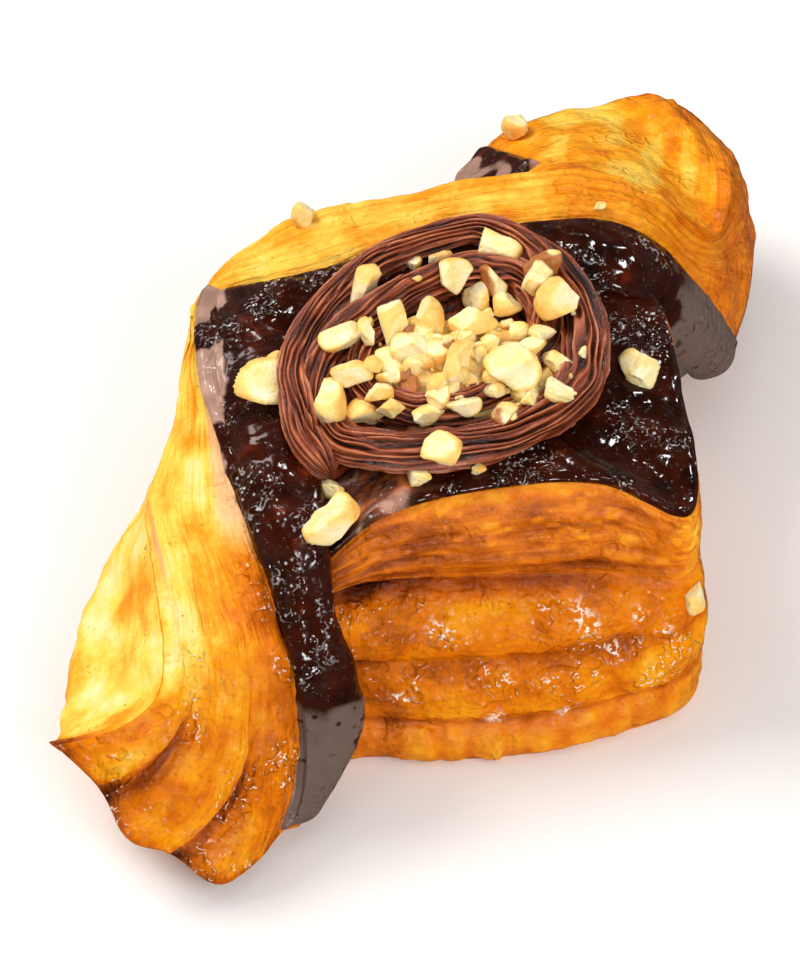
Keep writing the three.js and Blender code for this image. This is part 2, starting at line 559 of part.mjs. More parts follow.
const [leftWing, backWing, block] = [wingBody(LEFT_WING), wingBody(BACK_WING), blockBody()];
const dough = leftWing.add(backWing).add(block);

const darkSides = Math.round(DARK_END * WING_SIDES);
const wingRange = [1, WING_STEPS - 1];
const leftSkin = wingSkin(LEFT_WING, wingRange, [0, darkSides], WIDER).subtract(grown(backWing.add(block)));
const backSkin = wingSkin(BACK_WING, wingRange, [0, darkSides]).subtract(grown(leftWing.add(block)));
const skinRings = [1, ...TOP_RINGS];
const topSkin = skin(BLOCK_SIDES, TOP_RINGS.length, (u, v) => blockTop(u, through(skinRings, v)[0]),
  () => [...BLOCK_MIDDLE, 0], true).subtract(grown(leftWing.add(backWing)));
const skins = largest(leftSkin.add(backSkin).add(topSkin).subtract(grown(dough, GAP / 2)));
const earSkin = wingSkin(BACK_WING, EAR_PATCH.steps, EAR_PATCH.sides);

const crust = dough.add(skins);
const strands = strand(OUTER_PATH, STRAND_HEIGHT).add(strand(INNER_PATH, STRAND_HEIGHT + INNER_RISE));
const cream = largest(strands.add(creamBed()).subtract(raised(crust)));

// All nuts are joined to the core where they touch it, cut clear of what they lie on and taken
// apart again: the largest part is the heap.
const core = fromGeometry(new THREE.SphereGeometry(1, 12, 6).scale(...HEAP_SIZE).translate(...HEAP_PLACE));
const bed = target(crust.add(cream).add(core));
const sideNut = nut(SIDE_NUT.size, SIDE_NUT.turn, SIDE_NUT.seed).translate(SIDE_NUT.place);
const topNuts = NUTS.reduce((sum, row, k) => sum.add(nutOn(bed, row, FIRST_SEED + SEED_STEP * k)), core);
const allNuts = topNuts.subtract(raised(crust.add(cream))).add(sideNut.subtract(grown(dough)));
const nutParts = allNuts.decompose()
  .filter((part) => part.volume() > SMALLEST_NUT)
  .map((part) => largest(exact(part))) // without sealed hollows between nuts
  .sort((a, b) => b.volume() - a.volume());

const group = new THREE.Group();
group.position.set(-CENTRE[0], -CENTRE[1], 0);
group.add(toMesh('dough', dough, 0xd98a26, 0.45));
group.add(toMesh('chocolate_skin', skins, 0x1c0c06, 0.15));
group.add(toMesh('ear_skin', earSkin, 0x2a140c, 0.2));
group.add(toMesh('cream_rosette', cream, 0x7a3f22, 0.6));
nutParts.forEach((part, k) => {
  const name = k ? `nut_${String(k).padStart(2, '0')}` : 'nut_heap';
  group.add(toMesh(name, part, 0xf5e0a4, 0.55));
});

export default group;
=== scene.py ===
"""Looks of a small danish pastry: laminated dough, chocolate skin, piped cream and chopped hazelnuts.

Lengths in the shape functions are millimetres in the pastry's own plan, as in its construction: +X to the
right, +Y away from the front, +Z up. to_metres() moves the plan's CENTRE to the origin.
"""

import itertools
import math

import bpy
import numpy as np
from bpy.props import FloatProperty, FloatVectorProperty, IntProperty, PointerProperty
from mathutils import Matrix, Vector
from mathutils.bvhtree import BVHTree


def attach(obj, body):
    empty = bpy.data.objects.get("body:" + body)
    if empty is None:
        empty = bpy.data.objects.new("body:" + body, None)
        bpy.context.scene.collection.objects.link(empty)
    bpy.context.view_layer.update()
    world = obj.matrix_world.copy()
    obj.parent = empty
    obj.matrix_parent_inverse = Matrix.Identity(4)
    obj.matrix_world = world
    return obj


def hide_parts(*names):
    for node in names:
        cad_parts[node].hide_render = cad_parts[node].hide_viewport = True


bl_info = {
    "name": "Danish pastry",
    "version": (1, 0, 0),
    "blender": (4, 5, 0),
    "location": "3D View > Sidebar > Pastry",
    "description": "Folded danish pastry with a chocolate skin, a cream rosette and chopped hazelnuts",
    "category": "Add Mesh",
}

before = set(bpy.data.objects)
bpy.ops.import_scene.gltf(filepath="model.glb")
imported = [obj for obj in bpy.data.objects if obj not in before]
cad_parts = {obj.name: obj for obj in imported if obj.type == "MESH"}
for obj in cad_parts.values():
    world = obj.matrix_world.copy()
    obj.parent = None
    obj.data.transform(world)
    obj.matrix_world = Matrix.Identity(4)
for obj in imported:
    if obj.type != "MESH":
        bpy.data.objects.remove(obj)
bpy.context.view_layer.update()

# ---------------------------------------------------------------- driving dimensions, mm

MM = 0.001
CENTRE = (-17.27, 31.35)  # middle of the outline, in plan
SKIN_STAND = 1.3  # top of the chocolate skin above the dough
SKIN_SINK = 0.5  # underside of the skin, inside the dough
TOP_HEIGHT = 38.6
STRAND_HEIGHT = 42.4
INNER_RISE = 0.3  # of the inner strand above the outer one
START_DROP = 2.4  # how much lower a strand's start lies
END_DROP = 1.2
DROP_OVER = 1 / 12  # share of the strand's length over which it drops
DRAWN_OVER = 0.022  # share over which its ends are drawn in
STRAND_UPRIGHT = 1.15  # height of a strand's section by its width
PLEATS = 17  # round a strand
STRAND_LENGTH = 130  # to scale patterns
LAYERS = 5
LAYER_DEPTH = 0.55
LOBE_DEPTH = 2.3  # how far each lobe of a tip dives below the next one
LOBE_EDGES = ((0.38, 0.5), (0.81, 0.83))  # where a lobe ends across the cut side, at its start and its tip
WING_LENGTH = 105  # along a wing, to scale patterns
WING_GIRTH = 130  # round a wing
BLOCK_GIRTH = 190  # round the block

# Share of a wing's section that each face takes: chocolate face, cut side, inner face, underside
DARK_END = 0.22
CUT_END = 0.58
INNER_END = 0.78
START_ROUND = 0.07  # share of a wing's length over which its start is rounded
CORNER_ROUND = 0.011  # step round a wing's section between the places that are averaged
DARK_BOW = 1.6  # how far the chocolate face bows out
CUT_BOW = 1.5

# Guide curves of a wing, from the back left corner to the tip. lobes and lines are the strength of the tip's
# lobes and of the layers' lines; tip_edge is the tip's own outline.
LEFT_WING = {
    "dark_inner": [(-31, 49, 36), (-31, 28, 38), (-29, 14, 38.3), (-27.8, 1.4, 36.6), (-27.1, -5.6, 29.2),
                   (-24.6, -8.6, 22.8), (-23.4, -10.2, 15.4), (-26, -12.4, 8.8), (-30.2, -16.4, 4.4)],
    "dark_outer": [(-42.6, 50, 34), (-43, 32, 36.2), (-41.2, 19.4, 36), (-38.4, 5.8, 34.8),
                   (-35, -2.7, 29.8), (-32.2, -11.4, 22.9), (-31.8, -14.9, 15.5), (-32.3, -18, 9),
                   (-33.8, -21, 3.6)],
    "ridge": [(-43.4, 51, 32.5), (-46.6, 34.4, 33.2), (-48.2, 24, 32.6), (-51.8, 12.6, 30.8), (-50.4, -0.2, 31),
              (-49.6, -10.6, 30.6), (-50.2, -17.2, 28), (-55.8, -20.2, 24.5), (-64.2, -19.2, 20)],
    "rim": [(-43.8, 50.6, 25), (-47.2, 34, 23), (-52.5, 24, 18), (-58.4, 14.5, 15), (-61.8, 5, 14.5),
            (-63.4, -6, 16), (-64.2, -14, 18), (-64.4, -17.6, 19), (-64.4, -19, 19.4)],
    "foot_height": [20, 18, 11, 5, 3, 3, 5, 10, 15.5],
    "inner_bow": [0, -0.6, -1.1, -1.5, -1.6, -1.5, -1.1, -0.6, 0],
    "lobes": 1,
    "lines": 1,
    "tip_edge": [(-33.8, -21, 3.6), (-37.2, -25.9, 2.8), (-42.8, -30.6, 2.6), (-47.8, -27.2, 6.5),
                 (-55, -29, 11), (-57, -23.6, 14.5), (-64.2, -19.2, 20)],
}
BACK_WING = {
    "dark_inner": [(-42, 36, 34), (-27, 34, 38.3), (-11, 38, 39.3), (4, 41.8, 39.8), (9, 42.9, 39.2),
                   (13.6, 42.9, 36), (17.6, 45.6, 25.6), (19.8, 48.8, 17.6), (22.6, 53.4, 9.4)],
    "dark_outer": [(-46, 45, 34), (-29, 46.4, 38.6), (-14, 51.2, 39.8), (1.3, 53.5, 40.1), (8.7, 54, 39.8),
                   (15.3, 53.6, 36.8), (21.1, 53.4, 28.4), (24.4, 54.4, 20.5), (26.6, 56.4, 11)],
    "ridge": [(-45, 50.5, 31.5), (-30.5, 57.6, 36.2), (-17.5, 60.6, 37), (-0.7, 63.6, 38.4),
              (7.3, 63.6, 38.6), (15.6, 61.6, 36), (23.6, 61, 30), (24, 77, 26.5), (18.8, 92.8, 20)],
    "rim": [(-46.5, 51, 25), (-31, 62.4, 25), (-20, 69.5, 23), (-11, 81, 17.5), (-5.6, 88.6, 18.2),
            (0.6, 91.8, 19.5), (8.2, 94.2, 20), (14, 94.4, 20), (18.4, 93, 19.5)],
    "foot_height": [20, 18, 15, 10, 8, 7, 6, 8, 14],
    "inner_bow": [0, 0.2, -0.8, -2, 0.6, 2, 2.2, 1.6, 0],
    "lobes": 0.2,
    "lines": 0.6,
    "tip_edge": [(26.6, 56.4, 11), (28.7, 67.4, 8), (29.4, 78.6, 7.8), (27.9, 82.6, 10.5),
                 (26, 87.6, 15), (23.4, 89.6, 17), (18.8, 92.8, 20)],
}
TIP_EDGE_AT = (0, 0.15, 0.32, 0.46, 0.66, 0.8, 1)

# Outline of the block from the front left corner round to the right
BLOCK_FLOOR = [(-32, -3), (-19, -5.6), (-5, -5.6), (9, -2.2), (21.4, 5.6), (19.6, 26), (16, 49), (-4, 50),
               (-38, 46), (-38, 20)]
BLOCK_TOP = [(-35, -1), (-20.5, 4), (-5, 7.2), (9, 8.3), (20.8, 6.4), (19.6, 27), (14, 47), (-4, 48),
             (-40, 45), (-40, 20)]
BLOCK_CREASE = [27.5, 27, 25.5, 24.8, 24.4, 24, 24, 24, 25, 27]  # height of the crease round the block
BLOCK_EDGE = [29, 37.4, 39.4, 39.4, 36, 36.6, 36, 37, 34, 34]
BLOCK_BULGE = [0.8, 1, 1, 0.85, 0.2, 0.2, 0.3, 0.5, 0.4, 0.4]
BLOCK_MIDDLE = (-10, 27)
# Profile of the block's side: how far it stands out at each level, which is 0 at the floor, 1 at the crease
# and 2 at the top
SIDE_LEVEL = (0, 0.04, 0.12, 0.2, 0.27, 0.35, 0.46, 0.57, 0.66, 0.73, 0.82, 0.91, 0.97, 1, 1.09, 1.29,
              1.54, 1.75, 1.9, 2)
SIDE_OUT = (-0.4, 1.4, 2.3, 2.2, 1.2, 3.0, 4.0, 3.8, 2.2, 3.8, 4.6, 3.2, 0.6, -2.2, -0.6, 0.7,
            1.1, 1.0, 0.5, -0.9)
# Spots on the block's front: place along the girth, level, and how far the spot reaches in both
DIMPLE = (37, 0.42, 1.8, 0.05)
HOLE = (15, 1.01, 2.4, 0.05)
LUMP = (62, 0.5, 3.2, 0.17)
# Crackle spots, where pale dried glaze is painted over the front's glints as a painted highlight: their reach,
# then their places.
CRACKLE_GLINT_REACH = (1.8, 0.055)
CRACKLE_GLINTS = ((50.7, 0.9), (57, 0.62), (22.3, 0.464), (66, 0.72), (61, 0.84), (49.4, 0.3), (37.2, 0.31),
           (28.6, 0.873), (52, 0.83))

# Middle lines of the two piped strands, in plan, with the strand's radius
OUTER_PATH = [(-27.2, 10.2, 2), (-30.4, 14.6, 2.3), (-31.6, 20.8, 2.4), (-32, 26.4, 2.4), (-30.4, 32.2, 2.3),
              (-26.6, 38.4, 2.3), (-21.2, 44.2, 2.3), (-14.6, 48.2, 2.3), (-7.3, 50, 2.4), (-0.6, 46.6, 2.6),
              (3.6, 41, 3), (6, 34.6, 3.4), (6.3, 27.6, 3.4), (4.6, 21.6, 3.1), (0, 16.8, 2.8), (-6, 13.4, 2.7),
              (-13, 12, 2.7), (-19.6, 12, 2.7), (-25, 13.8, 2.5), (-27.2, 18.6, 2.2)]
INNER_PATH = [(-29.6, 17, 1.9), (-29.2, 23.4, 2.3), (-26.4, 30, 2.6), (-20.8, 36, 2.6), (-14.6, 40.4, 2.6),
              (-7.4, 43.4, 2.6), (-1, 41, 2.6), (1.6, 34.6, 2.6), (0.8, 28, 2.6), (-3, 22.4, 2.6),
              (-9.4, 19, 2.6), (-16.4, 18.4, 2.6), (-22, 21.6, 2.6), (-22.4, 27.6, 2.6), (-17.4, 31.2, 2.5),
              (-10.6, 31.4, 2.2)]
BED_MIDDLE = (-11.5, 29)

# Chopped hazelnuts: middle x and y, length, width, height, turn in degrees, share of brown skin,
# depth of a hollow bitten out of one side, and how far one lies above what carries it, as a share of its height
NUTS = [
    (-25.2, 28.8, 6.4, 3.6, 3.8, 25, 0, 0, 0.1), (-22.3, 28.4, 2.6, 4.2, 3.2, 10, 0, 0, 0.1),
    (-18.5, 30, 4.6, 7.4, 4.4, 12, 0, 0, 0.05), (-14.3, 31.6, 3.8, 6.2, 4.2, 15, 0.1, 0, 0.05),
    (-11.1, 39.7, 5.2, 4.4, 4, 35, 0, 0, 0.1), (-7.5, 39, 4, 4, 3.2, 60, 0.35, 0, 0.1),
    (-3.7, 37, 4.2, 4, 3.6, 30, 0, 0, 0.15), (-5.3, 46.2, 5.4, 6.2, 4.6, 60, 0, 0, 0.05),
    (-13.1, 44.9, 3.6, 2.4, 2.4, 0, 0, 0, 0.1), (-16.3, 44.5, 2, 1.7, 1.6, 10, 0, 0, 0.1),
    (1.3, 41.1, 4.8, 4.4, 3.8, 15, 0.8, 0, 0.15), (0.5, 37.5, 5.2, 4.6, 4.2, 20, 0, 0, 0.15),
    (3.7, 34.4, 6.4, 6.2, 5.2, 50, 0, 0, 0.1), (-22.7, 39.2, 7.6, 5, 5, 50, 0, 0.45, 0.1),
    (-36.1, 24.3, 8.2, 6.4, 4.8, -5, 0.12, 0, 0.05), (-34.4, 28.4, 2.6, 2.2, 2.4, 40, 0, 0, 0.3),
    (-24.4, 22.2, 4.6, 3.4, 3.4, -10, 0.1, 0, 0.1), (-27.9, 18.4, 4.6, 7.6, 4.6, 8, 0, 0, 0.1),
    (-22.5, 18.2, 5.4, 4.2, 3.8, 20, 0, 0, 0.1), (-20.9, 18.9, 3.4, 3, 3, 0, 0.1, 0, 0.1),
    (-19.2, 17, 3.6, 3.2, 3.2, 50, 0, 0, 0.1), (-16.4, 25.9, 6.4, 4.6, 4.4, -15, 0, 0.3, 0.05),
    (-19.3, 24, 3.6, 4.6, 3.4, 20, 0.15, 0, 0.1), (-10.3, 22.1, 7.6, 6.4, 5, 70, 0, 0.55, 0.05),
    (-3.3, 23.2, 6.2, 9.2, 5.4, 8, 0, 0, 0), (-8.7, 30.2, 7.2, 4.2, 4.2, 10, 0.1, 0, 0.05),
    (-0.9, 27.3, 3.6, 3.2, 3.2, 10, 0, 0, 0.05), (0.7, 28.8, 3.4, 3.4, 3.2, 70, 0, 0, 0.05),
    (-2.4, 29.2, 3, 2.8, 2.8, 40, 0, 0, 0.05), (2.5, 25.1, 6.4, 3.4, 3.6, -45, 0, 0.4, 0.05),
    (2.9, 18.8, 5.8, 2.6, 3, -40, 0, 0, 0.05), (-1.1, 20.1, 3.6, 3.4, 3, 30, 0, 0, 0.1),
    (-12.7, 26.2, 3.8, 3.4, 3.4, 15, 0, 0, 0.05), (-13.1, 18.2, 4, 3, 3, 70, 0.15, 0, 0.1),
    (-9.7, 17.1, 4.2, 2.8, 2.8, 10, 0.1, 0, 0.1), (-14, 16.1, 5.6, 2.6, 2.6, 20, 0, 0, 0.05),
    (-3.9, 15.3, 3.4, 3, 2.8, 10, 0.45, 0, 0.1), (-16.5, 20.8, 2.6, 2.8, 2, 20, 0.95, 0, 0.2),
    (-15.7, 15.6, 4.6, 2.6, 2.2, 30, 0.95, 0, 0.2), (-12.7, 9.5, 5.8, 5.2, 4.4, 30, 0, 0, 0.1),
    (-15.3, 8.8, 3.2, 5.2, 3, 12, 0, 0, 0.1), (-7.9, 9.8, 2.2, 1.6, 1.6, 0, 0, 0, 0.1),
    (-27.2, 3.1, 7.2, 6.8, 6.4, 80, 0, 0, 0.45), (-26.8, 9.3, 2.8, 3.4, 3.2, 20, 0, 0, 0.9),
    (13.9, 28.6, 4.9, 6, 3.4, 8, 0, 0, 0.1), (-2, 84.7, 3.8, 3.4, 4, 20, 0, 0, 0.1),
    (-30.7, 55.7, 3.2, 2.8, 3.2, 0, 0, 0, 0.1), (-5.6, 40.8, 3.2, 4.6, 2.8, 20, 0.55, 0, 0.1),
    (8.7, 55.2, 2, 1.3, 1, 10, 0, 0, 0.2),
]
SIDE_NUT_PLACE = (20.9, 5, 21)
SIDE_NUT_SIZE = (4.2, 3.8, 4.6)
NUT_FULLNESS = 1.12  # makes up for what a nut's flat cuts take away
NUT_RISE = 0.28  # a nut's middle above what carries it, as a share of its height
NUTS_TOP = 50.2  # no nut reaches higher
HEAP_PLACE = (-9.5, 25.6, 42.2)
HEAP_SIZE = (12.5, 8.2, 3.4)
BIT_COUNT = 46
BITS = {"spread": (5.8, 3.8), "sizes": (1.8, 3.8), "rows": 20, "columns": 28}
CRUMBS = {"spread": (6.2, 5.2), "sizes": (0.6, 1.6), "rows": 10, "columns": 14}

# ---------------------------------------------------------------- arrays: curves and noise

TABLE_SIZE = 4096
TABLE = np.random.default_rng(11).permutation(TABLE_SIZE)


def lerp(a, b, s):
    return a + (b - a) * s


def smooth(s):
    """3s² - 2s³ between 0 and 1."""
    s = np.clip(s, 0, 1)
    return s * s * (3 - 2 * s)


def rise(x, start, width):
    """0 up to the start, 1 from that width beyond it, smooth between."""
    return smooth((x - start) / width)


def fall(x, end, width):
    """1 up to that width before the end, 0 from the end on, smooth between."""
    return smooth((end - x) / width)


def bell(x, middle, width):
    """exp(-((x - middle) / width)²)"""
    return np.exp(-(((x - middle) / width) ** 2))


def unit(vectors):
    """The vectors along the last axis at length 1."""
    return vectors / np.maximum(np.linalg.norm(vectors, axis=-1, keepdims=True), 1e-12)


def through(rows, t, closed=False):
    """Uniform Catmull-Rom curve through the rows of a list, at t from 0 to 1; closed runs round once."""
    rows = np.asarray(rows, float).reshape(len(rows), -1)
    spans = len(rows) if closed else len(rows) - 1
    place = (np.mod(t, 1) if closed else np.clip(t, 0, 1)) * spans
    i = np.minimum(np.floor(place).astype(int), spans - 1)
    f = (place - i)[..., None]

    def row(k):
        return rows[np.mod(k, len(rows)) if closed else np.clip(k, 0, len(rows) - 1)]

    a, b, c, d = row(i - 1), row(i), row(i + 1), row(i + 2)
    return b + 0.5 * f * (c - a + f * (2 * a - 5 * b + 4 * c - d + f * (3 * (b - c) + d - a)))


def between(places, rows, s):
    """Straight lines between unevenly placed rows."""
    columns = np.asarray(rows, float).reshape(len(rows), -1).T
    return np.stack([np.interp(s, places, column) for column in columns], -1)


def noise(points, size, seed=0):
    """Random values from -1 to 1 on the corners of cubes of that size, blended by 3s² - 2s³ along each edge."""
    p = np.asarray(points, float) / size + 19.37 * (seed + 1)
    cell = np.floor(p).astype(int)
    f = smooth(p - cell)
    total = 0.0
    for corner in itertools.product((0, 1), repeat=p.shape[-1]):
        key = 0
        weight = 1.0
        for axis, step in enumerate(corner):
            key = TABLE[(cell[..., axis] + step + key) % TABLE_SIZE]
            weight = weight * (f[..., axis] if step else 1 - f[..., axis])
        total = total + weight * (2.0 * key / (TABLE_SIZE - 1) - 1)
    return total


def rough(points, size, seed=0, octaves=4):
    """Sum of noises, each half as large and half as strong as the one before."""
    return sum(noise(points, size / 2**k, seed + 7 * k) / 2**k for k in range(octaves))


def flow(*parts):
    """Parts of a coordinate as the last axis of an array."""
    return np.stack(np.broadcast_arrays(*parts), -1)


def surface_noise(along, across, size, seed):
    """Noise over two coordinates of a surface."""
    return noise(flow(along, across, 0 * along), size, seed)


def ball_directions(pole, turn):
    """Unit vectors by the angle from the top and the angle round it."""
    return flow(np.sin(pole) * np.cos(turn), np.sin(pole) * np.sin(turn), np.cos(pole) + 0 * turn)


def spread(ends, counts):
    """Parameter values that run through the ends, with that many even steps in each part."""
    parts = [np.linspace(a, b, n, endpoint=False) for a, b, n in zip(ends, ends[1:], counts)]
    return np.concatenate(parts)


def grid_normals(points, around=False):
    """Cross product of the grid's two directions, by central differences, turned away from the middle. around
    joins the last column to the first."""
    along = np.gradient(points, axis=0)
    if around:
        across = np.roll(points, -1, 1) - np.roll(points, 1, 1)
    else:
        across = np.gradient(points, axis=1)
    n = unit(np.cross(along, across))
    middle = points.mean(1, keepdims=True) if around else points.mean((0, 1), keepdims=True)
    return n if (n * (points - middle)).sum() > 0 else -n


# ---------------------------------------------------------------- meshes


def to_metres(points):
    return (np.asarray(points, float).reshape(-1, 3) - (*CENTRE, 0)) * MM


def tube_faces(rows, columns):
    """Quads of a tube of rows x columns points, and the two rings of triangles to its end points."""
    i, j = np.meshgrid(np.arange(rows - 1), np.arange(columns), indexing="ij")
    k = (j + 1) % columns
    quads = np.stack([i * columns + j, i * columns + k, (i + 1) * columns + k, (i + 1) * columns + j], -1)
    j = np.arange(columns)
    k = (j + 1) % columns
    last = (rows - 1) * columns
    start = np.stack([k, j, np.full(columns, rows * columns)], -1)
    end = np.stack([last + j, last + k, np.full(columns, rows * columns + 1)], -1)
    return quads.reshape(-1, 4), np.concatenate([start, end])


def sheet_faces(rows, columns):
    """Quads of a closed shell of two sheets of rows x columns points that are joined along their four edges."""
    count = rows * columns
    i, j = np.meshgrid(np.arange(rows - 1), np.arange(columns - 1), indexing="ij")
    top = np.stack([i * columns + j, i * columns + j + 1, (i + 1) * columns + j + 1, (i + 1) * columns + j], -1)
    top = top.reshape(-1, 4)
    edge = np.concatenate([np.arange(columns - 1), np.arange(rows - 1) * columns + columns - 1,
                           count - 1 - np.arange(columns - 1), (rows - 1 - np.arange(rows - 1)) * columns])
    after = np.roll(edge, -1)
    wall = np.stack([after, edge, count + edge, count + after], -1)
    return np.concatenate([top, top[:, ::-1] + count, wall])


def write_mesh(name, points, quads, triangles=(), **attributes):
    """A mesh object from arrays; its faces are turned outwards by the sign of the volume that they enclose."""
    points = to_metres(points)
    quads = np.asarray(quads, int).reshape(-1, 4)
    triangles = np.asarray(triangles, int).reshape(-1, 3)
    halves = np.concatenate([quads[:, :3], quads[:, [0, 2, 3]], triangles])
    a, b, c = (points[halves[:, k]] for k in range(3))
    if (a * np.cross(b, c)).sum() < 0:
        quads, triangles = quads[:, ::-1], triangles[:, ::-1]
    mesh = bpy.data.meshes.new(name)
    mesh.vertices.add(len(points))
    mesh.vertices.foreach_set("co", points.astype(np.float32).ravel())
    loops = np.concatenate([quads.ravel(), triangles.ravel()])
    starts = np.concatenate([np.arange(len(quads)) * 4, 4 * len(quads) + np.arange(len(triangles)) * 3])
    mesh.loops.add(len(loops))
    mesh.loops.foreach_set("vertex_index", loops.astype(np.int32))
    mesh.polygons.add(len(starts))
    mesh.polygons.foreach_set("loop_start", starts.astype(np.int32))
    mesh.update(calc_edges=True)
    mesh.validate()
    mesh.polygons.foreach_set("use_smooth", np.ones(len(mesh.polygons), bool))
    for key, values in attributes.items():
        values = np.asarray(values, np.float32)
        vector = values.size == 3 * len(points)
        layer = mesh.attributes.new(key, "FLOAT_VECTOR" if vector else "FLOAT", "POINT")
        layer.data.foreach_set("vector" if vector else "value", values.ravel())
    piece = bpy.data.objects.new(name, mesh)
    bpy.context.scene.collection.objects.link(piece)
    return piece


def write_tubes(name, grids, **attributes):
    """Closed tubes from grids of rings, all in one mesh. Each end of a tube gets a middle point, which has the
    mean of its ring's values."""
    count, rows, columns = grids.shape[:3]
    quads, triangles = tube_faces(rows, columns)
    points_each = rows * columns + 2
    shift = (np.arange(count) * points_each)[:, None, None]

    def with_ends(values):
        flat = values.reshape(count, rows * columns, -1)
        ends = np.stack([values[:, k].reshape(count, columns, -1).mean(1) for k in (0, -1)], 1)
        return np.concatenate([flat, ends], 1).reshape(count * points_each, -1)

    return write_mesh(name, with_ends(grids), quads + shift, triangles + shift,
                      **{key: with_ends(values) for key, values in attributes.items()})


def write_tube(name, points, **attributes):
    """One closed tube from a grid of rings."""
    return write_tubes(name, points[None], **{key: values[None] for key, values in attributes.items()})


def write_shell(name, outer, inner, **attributes):
    """A closed shell from an outer and an inner grid, whose points at one place have the same values."""
    doubled = {key: np.stack([values, values]) for key, values in attributes.items()}
    return write_mesh(name, np.stack([outer, inner]), sheet_faces(*outer.shape[:2]), **doubled)


def finish_piece(piece, material, slot, *nodes):
    """The piece rides on the pastry, gets its material and stands for those CAD nodes."""
    piece.data.materials.append(material)
    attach(piece, "root")
    if nodes:
        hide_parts(*nodes)


# ---------------------------------------------------------------- materials


class Wire:
    """An output socket in a material; + - * and abs() on it add Math nodes."""

    def __init__(self, paint, socket):
        self.paint = paint
        self.socket = socket

    def math(self, operation, *values):
        return self.paint.node("ShaderNodeMath", *values, operation=operation)

    def __add__(self, other):
        return self.math("ADD", self, other)

    def __radd__(self, other):
        return self.math("ADD", other, self)

    def __sub__(self, other):
        return self.math("SUBTRACT", self, other)

    def __rsub__(self, other):
        return self.math("SUBTRACT", other, self)

    def __mul__(self, other):
        return self.math("MULTIPLY", self, other)

    def __rmul__(self, other):
        return self.math("MULTIPLY", other, self)

    def __abs__(self):
        return self.math("ABSOLUTE", self)

    def within(self, low, high):
        """0 below low, 1 above high, smooth between."""
        return self.paint.node("ShaderNodeMapRange", self, low, high, 0.0, 1.0, interpolation_type="SMOOTHSTEP")


class Paint:
    """A node material whose surface is one Principled shader. Its colours are names in the set, or values."""

    def __init__(self, name, colours=None, **uniform):
        self.colours = colours
        self.material = bpy.data.materials.new(name)
        self.material.use_nodes = True
        self.tree = self.material.node_tree
        self.shader = self.tree.nodes["Principled BSDF"]
        for socket, value in uniform.items():
            self.shader.inputs[socket.replace("_", " ").title().replace("Ior", "IOR")].default_value = value

    def tint(self, colour):
        """Red, green, blue and alpha of a named colour or of three values."""
        return (*(getattr(self.colours, colour) if isinstance(colour, str) else colour), 1)

    def node(self, kind, *values, output=0, stops=None, **settings):
        """Adds a node: its settings first, then the values or wires of its sockets, in order or by name."""
        made = self.tree.nodes.new(kind)
        named = settings.pop("named", {})
        for key, value in settings.items():
            setattr(made, key, value)
        if stops:
            ramp = made.color_ramp
            while len(ramp.elements) < len(stops):
                ramp.elements.new(1.0)
            for element, (place, colour) in zip(ramp.elements, stops):
                element.position = place
                element.color = self.tint(colour)
        for key, value in [*enumerate(values), *named.items()]:
            if isinstance(value, Wire):
                self.tree.links.new(value.socket, made.inputs[key])
            elif value is not None:
                made.inputs[key].default_value = value
        return Wire(self, made.outputs[output])

    def attribute(self, name, vector=False):
        return self.node("ShaderNodeAttribute", attribute_name=name, output="Vector" if vector else "Fac")

    def place(self):
        """Object coordinates in millimetres."""
        here = self.node("ShaderNodeTexCoord", output="Object")
        return self.node("ShaderNodeVectorMath", here, (1 / MM,) * 3, operation="MULTIPLY")

    def stretched(self, vector, scale):
        return self.node("ShaderNodeVectorMath", vector, scale, operation="MULTIPLY")

    def noise(self, vector, size, detail=3.0, roughness=0.55):
        """Noise from 0 to 1 with grains of that size in mm."""
        return self.node("ShaderNodeTexNoise", vector,
                         named={"Scale": 1 / size, "Detail": detail, "Roughness": roughness})

    def grain(self, *settings):
        """The same noise from -0.5 to 0.5."""
        return self.noise(*settings) - 0.5

    def patches(self, vector, size, low, high, detail=1.0, roughness=0.55):
        """1 in patches of that size in mm, where noise is above high, and 0 where it is below low."""
        return self.noise(vector, size, detail, roughness).within(low, high)

    def beads(self, vector, size, low=0.14, high=0.3):
        """1 in small round spots that are scattered at about that distance in mm, and 0 between them."""
        cells = self.node("ShaderNodeTexVoronoi", vector, feature="F1", named={"Scale": 1 / size})
        return 1 - cells.within(low, high)

    def ramp(self, factor, *stops):
        return self.node("ShaderNodeValToRGB", factor, stops=stops)

    def mix(self, below, colour, factor):
        """What lies below where the factor is 0, and the colour where it is 1."""
        return self.node("ShaderNodeMix", data_type="RGBA", output=2,
                         named={0: factor, 6: below, 7: self.tint(colour)})

    def crests(self, vector, size):
        """1 on thin lines that wind through space at that distance in mm, falling to 0 between them."""
        return 1 - abs(self.noise(vector, size, 1.5) - 0.5) * 6

    def bump(self, height, strength=1.0):
        """Relief from a height in mm."""
        return self.node("ShaderNodeBump", named={"Height": height, "Strength": strength, "Distance": MM})

    def finish(self, **inputs):
        for socket, value in inputs.items():
            self.tree.links.new(value.socket, self.shader.inputs[socket.replace("_", " ").title()])
        return self.material


def linear(code):
    """Linear colour of an sRGB hex code."""
    parts = [int(code[k:k + 2], 16) / 255 for k in (0, 2, 4)]
    return tuple(p / 12.92 if p <= 0.04045 else ((p + 0.055) / 1.055) ** 2.4 for p in parts)


